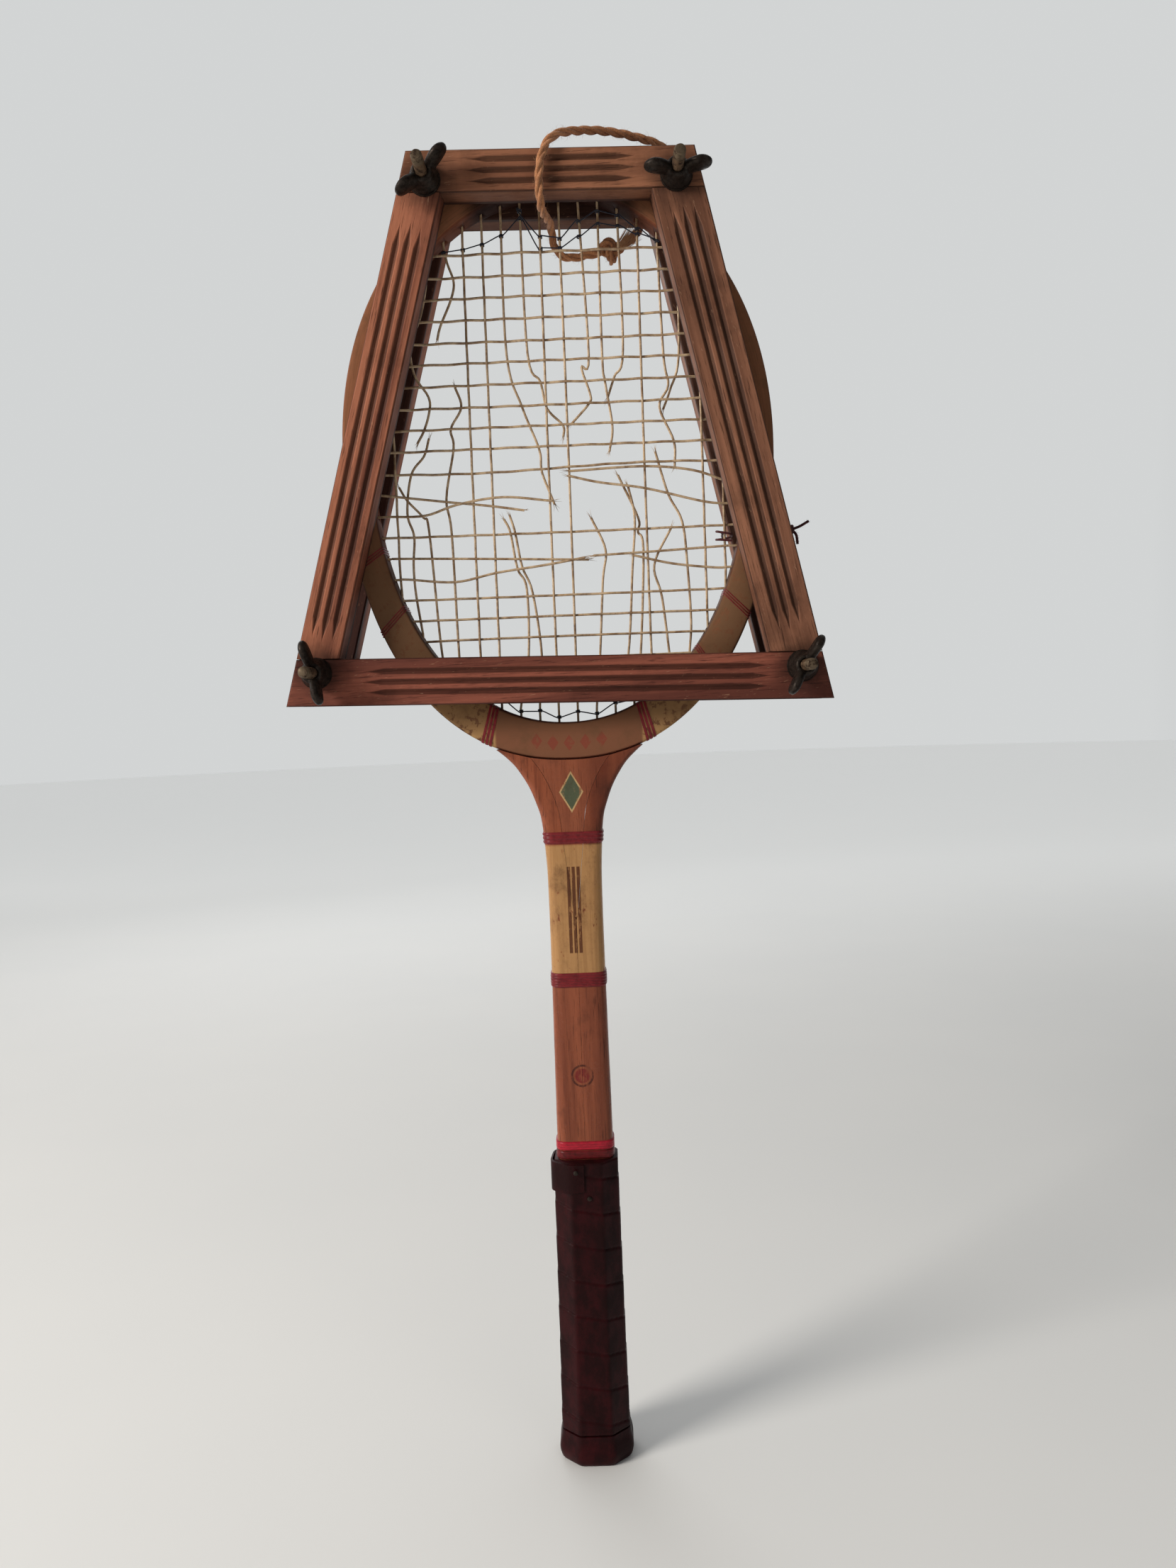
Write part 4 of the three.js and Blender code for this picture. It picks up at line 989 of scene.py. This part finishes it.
# Unbroken lengths: how the first string ends, the first and last string, how the last one ends.
MAIN_LENGTHS = [
    (None, 0, 1, "down"), ("up", 1, 2, "up"), ("down", 2, 3, "down"), ("up", 3, 6, "up"),
    ("down", 6, 7, "down"), ("up", 7, 10, "up"), ("down", 10, 11, "down"), ("up", 11, 12, "up"),
    ("down", 12, 14, "up"), ("down", 14, 15, "down"), ("up", 15, 17, None),
]
CROSS_LENGTHS = [
    (None, 0, 11, "right"), ("left", 11, 12, "left"), ("right", 12, 14, "left"), ("right", 14, 15, "right"),
    ("left", 15, 20, None),
]


def groove_edge():
    edge = dict(OUTER)
    for key in ("half_width", "up", "down"):
        edge[key] -= LOOP_DEPTH
    return edge


def main_turn(i, side):
    return Vector((main_x(i), MAIN["y"], edge_z(groove_edge(), main_x(i), side)))


def main_mouth(i, side):
    return Vector((main_x(i), MAIN["y"], edge_z(INNER, main_x(i), side) - 1.5 * side))


def cross_turn(j, side):
    return Vector((side * edge_x(groove_edge(), cross_z(j)), CROSS["y"], cross_z(j)))


def cross_mouth(j, side):
    return Vector((side * (edge_x(INNER, cross_z(j)) - 1.5), CROSS["y"], cross_z(j)))


def main_weave(i, side):
    """Main i from the mouth on that side to the other, over and under each cross."""
    points = []
    drift = random.uniform(-0.4, 0.4)
    for j in range(CROSS["count"]):
        z = cross_z(j)
        if edge_z(INNER, main_x(i), -1) + 3 < z < edge_z(INNER, main_x(i), 1) - 3:
            over = 1 if (i + j) % 2 else -1
            share = (z - 540) / 120
            points.append(Vector((main_x(i) + drift * (1 - share * share), WEAVE * over, z)))
    return points if side > 0 else points[::-1]


def cross_weave(j, side):
    points = []
    drift = random.uniform(-0.5, 0.5)
    for i in range(MAIN["count"]):
        x = main_x(i)
        if abs(x) < edge_x(INNER, cross_z(j)) - 3:
            over = -1 if (i + j) % 2 else 1
            sag = drift * cos(x / 60) + (1.2 * sin(x / 30) if j == 10 else 0)
            points.append(Vector((x, WEAVE * over, cross_z(j) + sag)))
    return points[::-1] if side > 0 else points


def loose_end(end, strays, clear, y):
    """A snapped string's loose end. Mains lie behind the net where they are clear, crosses before it."""
    first_clear = clear.get(end, len(strays[end]))
    return [Vector((x, y if i < first_clear else copysign(CLEAR_DISTANCE, y), z))
            for i, (x, z) in enumerate(strays[end])]


def string_route(length, ends, turn, mouth, weave, first_side):
    """One unbroken length, from its first free end to its last, as smooth points."""
    start, first, last, end = length

    def side_after(number):
        return first_side if number % 2 == 0 else -first_side

    pieces = []
    if start:
        stray = loose_end((first, start), *ends)[::-1]
        pieces.append(smooth_route([*stray, mouth(first, side_after(first))], 6))
    else:
        pieces.append([turn(first, -side_after(first))])
        pieces.append(smooth_route([mouth(first, -side_after(first)), *weave(first, -side_after(first)),
                                    mouth(first, side_after(first))], 4))
    for number in range(first, last):
        side = side_after(number)
        here = turn(number, side)
        there = turn(number + 1, side)
        inward = (mouth(number, side) - here).normalized()
        across = (there - here).normalized()
        pieces.append([here + inward * 0.9, here + (inward + across) * 0.27, here + across * 0.9])
        inward = (mouth(number + 1, side) - there).normalized()
        pieces.append([there - across * 0.9, there + (inward - across) * 0.27, there + inward * 0.9])
        if number + 1 < last or not end:
            pieces.append(smooth_route([mouth(number + 1, side), *weave(number + 1, side),
                                        mouth(number + 1, -side)], 4))
    if end:
        stray = loose_end((last, end), *ends)
        pieces.append(smooth_route([mouth(last, side_after(last - 1)), *stray], 6))
    else:
        pieces.append([turn(last, -side_after(last - 1))])
    return [point for piece in pieces for point in piece]


def frayed_end(tip, before):
    """Splinters of a snapped string, fanning out past its end."""
    along = (tip - before).normalized()
    splinters = []
    for _ in range(5):
        spread = scatter()
        splinters.append([tip - along * 1.2 + spread * 0.3, tip + along * 1.2 + spread * 0.7,
                          tip + along * random.uniform(2, 4) + spread * 1.6])
    return splinters


def make_strings(finish):
    splinters = []
    main_ends = (STRAY_MAINS, CLEAR_MAINS, MAIN["y"])
    cross_ends = (STRAY_CROSSES, CLEAR_CROSSES, CROSS["y"])
    for lengths, ends, turn, mouth, weave, first_side, name in (
        (MAIN_LENGTHS, main_ends, main_turn, main_mouth, main_weave, -1, "main"),
        (CROSS_LENGTHS, cross_ends, cross_turn, cross_mouth, cross_weave, 1, "cross"),
    ):
        for number, length in enumerate(lengths, 1):
            route = string_route(length, ends, turn, mouth, weave, first_side)
            if length[0]:
                splinters.extend(frayed_end(route[0], route[2]))
            if length[3]:
                splinters.extend(frayed_end(route[-1], route[-3]))
            piece = curve_piece(f"{name}_gut_{number}", [route], STRING_RADIUS, finish)
            settle(piece, f"{name}_string_{number}")
    frays = curve_piece("string_frays", splinters, 0.16, finish, 1, taper=True)
    settle(frays)


# The thin thread's places, each a main's number and a height; at the top it comes back behind.
UPPER_PASS = [
    (3, 649.7), (4, 650.8), (5, 653), (6, 657), (7, 665), (8, 649.8), (9, 649.6), (10, 655), (11, 661),
    (12, 659.5), (13, 655), (14, 651),
]
UPPER_RETURN = [(13, 657.5), (12, 664.5), (11, 667), (10, 662.5), (9, 654.3), (8, 655.8), (7, 669)]
LOWER_PASS = [(i, edge_z(INNER, main_x(i), -1) + (2.4 if i % 2 == 0 else 5)) for i in range(5, 13)]
RETURN_Y = -1.9


def make_trebling(finish):
    """Thin thread from main to main near the top and the bottom, hitched round each one."""
    upper = [(i, z, CROSS["y"]) for i, z in UPPER_PASS] + [(i, z, RETURN_Y) for i, z in UPPER_RETURN]
    lower = [(i, z, CROSS["y"]) for i, z in LOWER_PASS]
    for name, places in (("top", upper), ("bottom", lower)):
        route = []
        hitches = []
        for number, (i, z, y) in enumerate(places):
            ahead = 1 if places[min(number + 1, len(places) - 1)][0] >= i else -1
            centre = Vector((main_x(i), 0.4, z))
            route.append(centre + Vector((-1.1 * ahead, y - 0.5, 0)))
            route.append(centre + Vector((1.1 * ahead, y - 0.6, 0.2)))
            for lift in (-0.35, 0.45):
                hitches.append([centre + Vector((0.92 * cos(t), 0.92 * sin(t), lift + 0.07 * t))
                                for t in (k * pi / 6 for k in range(13))])
        piece = curve_piece(f"thread_{name}", [smooth_route(route, 4), *hitches], 0.33, finish, 2)
        settle(piece, f"trebling_{name}")


# ---- throat, shaft and handle

def shaft_half(z):
    return level_at(SHAFT_LEVELS, z)


def shaft_bend(z):
    """How far the shaft's edges are rounded: broadly below the throat, tightly in it."""
    return 6.2 - 2.8 * min(1, max(0, (z - 336) / 24))


def leg_rings(side):
    """Rings up one leg: flat against its neighbour inside, rounded outside."""
    rings = []
    z = 2.6
    while z < 400:
        outer = shaft_half(z)
        inner = 0.06 if z < 301 else level_at(WEDGE_LEVELS, z) + 0.12
        if z > HEAD_CENTRE_Z - OUTER["down"]:
            inner = max(inner, edge_x(OUTER, z) + 0.15)
        if outer - inner < 0.4:
            break
        width = outer - inner
        bend = min(shaft_bend(z), width * 0.8)
        corners = [(inner, -HALF_DEPTH), (inner + width, -HALF_DEPTH), (inner + width, HALF_DEPTH),
                   (inner, HALF_DEPTH)]
        ring = []
        for i, corner in enumerate(rounded_outline(corners, bend, 4)):
            sharp = i // 5 in (0, 3)
            x, y = corners[i // 5] if sharp else corner
            ring.append((side * x, y, z))
        rings.append(ring)
        z += 1.2 if z > 330 else 4
    return rings


def make_throat(leg_finish, wedge_finish):
    for side, name in ((-1, "left"), (1, "right")):
        leg = mesh_piece(f"leg_{name}", *skin(leg_rings(side)), leg_finish, 50)
        settle(leg, f"shaft_leg_{name}")
    rings = []
    for k in range(-60, 61):
        x = WEDGE_REACH * k / 60
        low = WEDGE_LEVELS[0][0]
        while level_at(WEDGE_LEVELS, low) < abs(x) - 1e-6:
            low += 0.25
        high = edge_z(OUTER, x, -1) - 0.12
        corners = ((-HALF_DEPTH, low), (-HALF_DEPTH, high), (HALF_DEPTH, high), (HALF_DEPTH, low))
        rings.append([(x, y, z) for y, z in corners])
    wedge = mesh_piece("wedge", *skin(rings), wedge_finish, 50)
    settle(wedge, "throat_wedge")


def shaft_outline(z, grow):
    half = shaft_half(z) + grow
    depth = HALF_DEPTH + grow
    corners = [(half, -depth), (half, depth), (-half, depth), (-half, -depth)]
    return rounded_outline(corners, shaft_bend(z) + grow, 5)


def make_binding(name, low, high, finish, cad=None, proud=0.75, ridges=0):
    """Thread wound round the shaft; ridges are heavier turns that stand out of it."""
    rings = []
    steps = max(10, round((high - low) * 5))
    for i in range(steps + 1):
        t = i / steps
        z = low + (high - low) * t
        round_over = min(1, 6 * t, 6 * (1 - t))
        grow = 0.1 + (proud - 0.1) * sqrt(round_over)
        if ridges:
            grow -= 0.42 * (0.5 + 0.5 * cos(2 * pi * ridges * t)) * round_over
        rings.append([(x, y, z) for x, y in shaft_outline(z, grow)])
    piece = mesh_piece(name, *skin(rings), finish, 60)
    settle(piece, cad)


def make_hoop_binding(name, degrees, spread, finish, cad=None, share=0.5, slant=0.0):
    """Three rings of thread wound round the hoop; share is how much of their spacing they fill."""
    middle = radians(degrees)
    grow = 0.24
    front = [("in", -grow, -HALF_DEPTH + 1.2), ("in", 1.2, -HALF_DEPTH - grow),
             ("out", -1.2, -HALF_DEPTH - grow), ("out", grow, -HALF_DEPTH + 1.2)]
    section = with_back(front)
    parts = []
    pitch = 2 * spread / (2 + share)
    for k in range(3):
        start = middle - spread + k * pitch
        parts.append(skin(hoop_rings(section, start, start + share * pitch, 6, slant)))
    piece = mesh_piece(name, *merged(parts), finish, 50)
    settle(piece, cad)


def grip_outline(half, grow, bend, spacings=12):
    """The handle's octagon with its corners eased, and each flat split so that it shades flat."""
    half_x = half + grow
    half_y = half * GRIP_ASPECT + grow
    cut = 1 - GRIP_FLAT
    eased = rounded_outline(octagon(half_x, half_y, half_x * cut, half_y * cut), bend, 4)
    outline = []
    for i, point in enumerate(eased):
        following = eased[(i + 1) % len(eased)]
        pieces = spacings if i % 5 == 4 else 1
        outline.extend(point.lerp(following, k / pieces) for k in range(pieces))
    return outline


def wrap_relief(x, y, z):
    """How far the wound strip stands out: thick at its upper edge, with a gap at each seam."""
    angle = atan2(y, x) % (2 * pi)
    phase = (z + WRAP_PITCH * angle / (2 * pi)) / WRAP_PITCH % 1
    seam = exp(-((min(phase, 1 - phase) * WRAP_PITCH / 0.55) ** 2))
    crown = sin(pi * phase) ** 0.4
    return 0.1 * crown + 0.35 * phase - 0.4 * seam - 0.32


def make_handle(grip_finish, butt_finish):
    rings = []
    steps = 240
    for i in range(steps + 1):
        z = GRIP_FOOT + (GRIP_TOP - GRIP_FOOT) * i / steps
        half = level_at(GRIP_LEVELS, z)
        ring = []
        for x, y in grip_outline(half, 0, 1.3):
            away = Vector((x, y)).normalized()
            out = wrap_relief(x, y, z) - (0.8 if i in (0, steps) else 0)
            ring.append((x + away.x * out, y + away.y * out, z))
        rings.append(ring)
    grip = mesh_piece("grip_wrap", *skin(rings), grip_finish, 60)
    settle(grip, "leather_grip")

    rings = []
    for i in range(34):
        z = BUTT_TOP * i / 33
        half = level_at(BUTT_LEVELS, z)
        rings.append([(x, y, z) for x, y in grip_outline(half, -0.15, 2.2)])
    rings.append([(x, y, BUTT_TOP) for x, y in grip_outline(BUTT_LEVELS[-1][1], -1.4, 2.2)])
    butt = mesh_piece("butt_leather", *skin(rings), butt_finish, 50)
    settle(butt, "butt_cap")


def make_end_turn(finish):
    """The strip's last turn, its loose end curling off the left of the handle."""
    outer = []
    steps = 60
    for i in range(steps + 1):
        t = i / steps
        angle = radians(100 + 166 * t)
        lift = 0.25 + 1.5 * exp(-((t - 0.62) / 0.22) ** 2) + 0.5 * max(0, t - 0.85) / 0.15
        half_x = 17.5 + lift
        half_y = 17.5 * GRIP_ASPECT + lift
        ray = Vector((cos(angle), sin(angle)))
        reach = octagon_reach(ray, half_x, half_y)
        low = END_TURN[0] + (1.4 * (t - 0.8) / 0.2 if t > 0.8 else 0)
        base = ray * reach
        thick = ray * (reach - 1.1)
        outer.append([(base.x, base.y, low), (base.x, base.y, END_TURN[1]),
                      (thick.x, thick.y, END_TURN[1] + 0.4), (thick.x, thick.y, low)])
    turn = mesh_piece("grip_loose_end", *skin(outer), finish, 50)
    settle(turn, "grip_end_turn")


def octagon_reach(ray, half_x, half_y):
    """How far the handle's octagon is from its middle along a direction."""
    cut = 1 - GRIP_FLAT
    corners = rounded_outline(octagon(half_x, half_y, half_x * cut, half_y * cut), 3, 3)
    best = 0
    for i, a in enumerate(corners):
        b = corners[(i + 1) % len(corners)]
        edge = b - a
        det = ray.x * edge.y - ray.y * edge.x
        if abs(det) > 1e-9:
            along = (a.x * edge.y - a.y * edge.x) / det
            share = (a.x * ray.y - a.y * ray.x) / det
            if along > 0 and 0 <= share <= 1:
                best = max(best, along)
    return best


# ---- press hardware

def press_point(x, z):
    """A point of the press, given from its middle, in the racket's frame."""
    cosine = cos(PRESS_TURN)
    sine = sin(PRESS_TURN)
    return PRESS_CENTRE[0] + x * cosine + z * sine, PRESS_CENTRE[1] - x * sine + z * cosine


def lathe(profile, sides=32):
    """A skin turned about the Y axis. The profile is (radius, y) from one end to the other."""
    return skin([
        [(max(radius, 0.01) * a, y, max(radius, 0.01) * b) for a, b in circle(sides)]
        for radius, y in profile
    ])


def bolt_skin():
    """A carriage bolt with a cut thread on its front half and a domed head behind."""
    tip = PRESS_FACE_Y - BOLT_REACH
    rings = []
    y = tip
    while y < -12:
        ring = []
        start = min(1, (y - tip) / 0.8)
        for k, (across, up) in enumerate(circle(24)):
            phase = ((y - tip) / THREAD_PITCH + k / 24) % 1
            radius = BOLT_RADIUS - 0.5 * abs(2 * phase - 1) - 0.7 * (1 - start)
            ring.append((radius * across, y, radius * up))
        rings.append(ring)
        y += THREAD_PITCH / 6
    thread = skin(rings)
    head = lathe([
        (2.9, -12.3), (2.9, 25.3), (7, 25.65), (6.8, 26.4), (6.2, 27.2), (5, 28), (3.2, 28.7), (1.2, 29),
        (0, 29),
    ])
    return merged([thread, head])


def wing_nut_skin():
    """Rough shape of a cast wing nut, before its joints are melted together."""
    foot = PRESS_FACE_Y - 1.85
    hub = lathe([
        (3.2, foot), (7.5, foot), (7.7, foot - 0.5), (7.5, foot - 1.2), (7.1, foot - 2.2), (6.5, foot - 4),
        (5.8, foot - 6), (5.3, foot - 8.2), (4.8, foot - 9.2), (3.2, foot - 9.4), (3.2, foot),
    ], 40)
    parts = [hub]
    for side in (-1, 1):
        rings = []
        for i in range(19):
            t = 1 - (1 - i / 18) ** 1.6
            round_off = sqrt(max(0.02, 1 - max(0, (t - 0.6) / 0.4) ** 2))
            half = (3.2 + 2.5 * sin(pi / 2 * min(1, t / 0.6))) * round_off
            thick = 2.6 * sqrt(max(0.05, 1 - max(0, (t - 0.7) / 0.3) ** 2))
            ring = []
            for cosine, sine in circle(20):
                wide = half * sine
                ring.append((side * (3.4 + 12.4 * t - 0.57 * wide), foot - 5 - 8.6 * t - 0.82 * wide,
                             thick * copysign(abs(cosine) ** 0.7, cosine)))
            rings.append(ring)
        parts.append(skin(rings))
    return merged(parts)


def melted(name, parts, voxel, material):
    """Overlapping skins made into one rounded, cast-looking mesh."""
    obj = mesh_piece(name, *parts, material)
    remesh = obj.modifiers.new("melt", "REMESH")
    remesh.mode = "VOXEL"
    remesh.voxel_size = voxel * MM
    smooth = obj.modifiers.new("soften", "SMOOTH")
    smooth.factor = 0.5
    smooth.iterations = 3
    bake(obj)
    obj.data.polygons.foreach_set("use_smooth", [True] * len(obj.data.polygons))
    return obj


def placed_copy(source, name, place, degrees):
    """A copy of a mesh that was made about the Y axis, at one bolt of the press."""
    x, z = press_point(*place)
    mesh = source.data.copy()
    mesh.transform(Matrix.Translation((x * MM, 0, z * MM)) @ Matrix.Rotation(-radians(degrees), 4, "Y"))
    return link(name, mesh)


def make_hardware(bolt_finish, cast_finish):
    bolt = mesh_piece("bolt_pattern", *bolt_skin(), bolt_finish, 45)
    nut = melted("nut_pattern", wing_nut_skin(), 0.42, cast_finish)
    for corner, (x, z, degrees) in BOLT_PLACES.items():
        screw = placed_copy(bolt, f"screw_{corner}", (x, z), degrees)
        settle(screw, f"bolt_{corner}")
        wings = placed_copy(nut, f"wings_{corner}", (x, z), degrees + PRESS_TURN * 57.3)
        settle(wings, f"wing_nut_{corner}", f"nut_{corner}")
    bpy.data.objects.remove(bolt)
    bpy.data.objects.remove(nut)


def dress_node(name, material, bevel=0.0):
    """Gives a CAD node its finish, and softens its edges by bevel millimetres."""
    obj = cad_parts[name]
    obj.data.materials.clear()
    obj.data.materials.append(material)
    if bevel:
        modifier = obj.modifiers.new("soft edges", "BEVEL")
        modifier.width = bevel * MM
        modifier.segments = 2
        modifier.limit_method = "ANGLE"
        modifier.angle_limit = radians(35)
        modifier.harden_normals = True


# ---- everything in its place

def main():
    set_camera()
    set_stage()
    set_backdrop()
    make_rope(twisted("jute", colour(206, 146, 102), colour(132, 82, 54)),
              twisted("jute_fibre", colour(214, 166, 124), colour(158, 108, 74)))
    make_tie(twisted("red_cord", colour(92, 36, 38), colour(42, 16, 18), 1.5, 0.8))

    make_hoop(hoop_wood())
    make_strings(gut())
    make_trebling(twisted("thread", colour(44, 46, 62), colour(16, 16, 24), 2, 0.7))

    amber = shaft_wood("shaft_wood", colour(148, 82, 56), colour(98, 48, 33), True)
    make_throat(amber, shaft_wood("wedge_wood", colour(144, 82, 58), colour(110, 58, 41), True))
    red = binding("red_thread", colour(128, 42, 46), colour(78, 26, 29))
    bright_red = binding("bright_red_tape", colour(176, 34, 52), colour(120, 24, 36), 1.4)
    residue = binding("dark_red_tape", colour(112, 30, 34), colour(48, 22, 18), 0.9)
    wound = binding("hoop_thread", colour(128, 36, 42), colour(76, 24, 28), 0.6, level=False)
    make_binding("throat_thread", *THROAT_BINDING, red, "binding_throat", ridges=3)
    make_binding("shaft_thread", *SHAFT_BINDING, red, "binding_shaft", ridges=5)
    make_binding("grip_tape_upper", *GRIP_TAPE, bright_red, "binding_grip")
    make_binding("grip_tape_lower", *TAPE_RESIDUE, residue, proud=0.7)
    for side, name in ((-1, "left"), (1, "right")):
        degrees = -90 + side * LOWER_RING_ANGLE
        make_hoop_binding(f"hoop_band_{name}", degrees, 0.026, wound, f"binding_hoop_{name}", 0.8, -side * 0.02)
    for degrees in UPPER_RING_ANGLES:
        tag = str(round(abs(degrees)))
        make_hoop_binding(f"hoop_thread_{tag}", degrees, 0.012, wound)

    make_handle(leather("grip_leather", colour(49, 12, 15), colour(31, 8, 9)),
                leather("butt_leather", colour(53, 14, 17), colour(33, 9, 11)))
    make_end_turn(leather("loose_leather", colour(48, 12, 15), colour(31, 8, 9)))

    cast = metal("cast_metal", colour(52, 45, 40), colour(24, 20, 18), 0.45, 0.55, colour(58, 40, 30))
    make_hardware(metal("old_brass", colour(96, 76, 58), colour(52, 40, 32), 0.5, 0.5,
                        bright_beyond=PRESS_FACE_Y - 20), cast)
    for corner in BOLT_PLACES:
        dress_node(f"washer_{corner}", cast, 0.25)
    for name in ("grip_tack_upper", "grip_tack_lower"):
        dress_node(name, cast, 0.15)

    pale_bar = (colour(172, 116, 86), colour(110, 70, 52))
    bar_woods = {
        "top": press_wood("press_wood_top", 88.7, *pale_bar),
        "bottom": press_wood("press_wood_bottom", 88.7, colour(146, 84, 67), colour(92, 50, 41)),
        "left": press_wood("press_wood_left", 15.3, colour(168, 106, 80), colour(110, 64, 49)),
        "right": press_wood("press_wood_right", -12.7, colour(164, 112, 86), colour(102, 67, 51)),
    }
    for side, material in bar_woods.items():
        dress_node(f"press_front_{side}", material, 0.35)
        dress_node(f"press_back_{side}", material, 0.35)
    pallet = shaft_wood("pallet_wood", colour(176, 136, 96), colour(132, 96, 66), False)
    for name in ("handle_pallet_front", "handle_pallet_back"):
        dress_node(name, pallet, 0.3)


main()
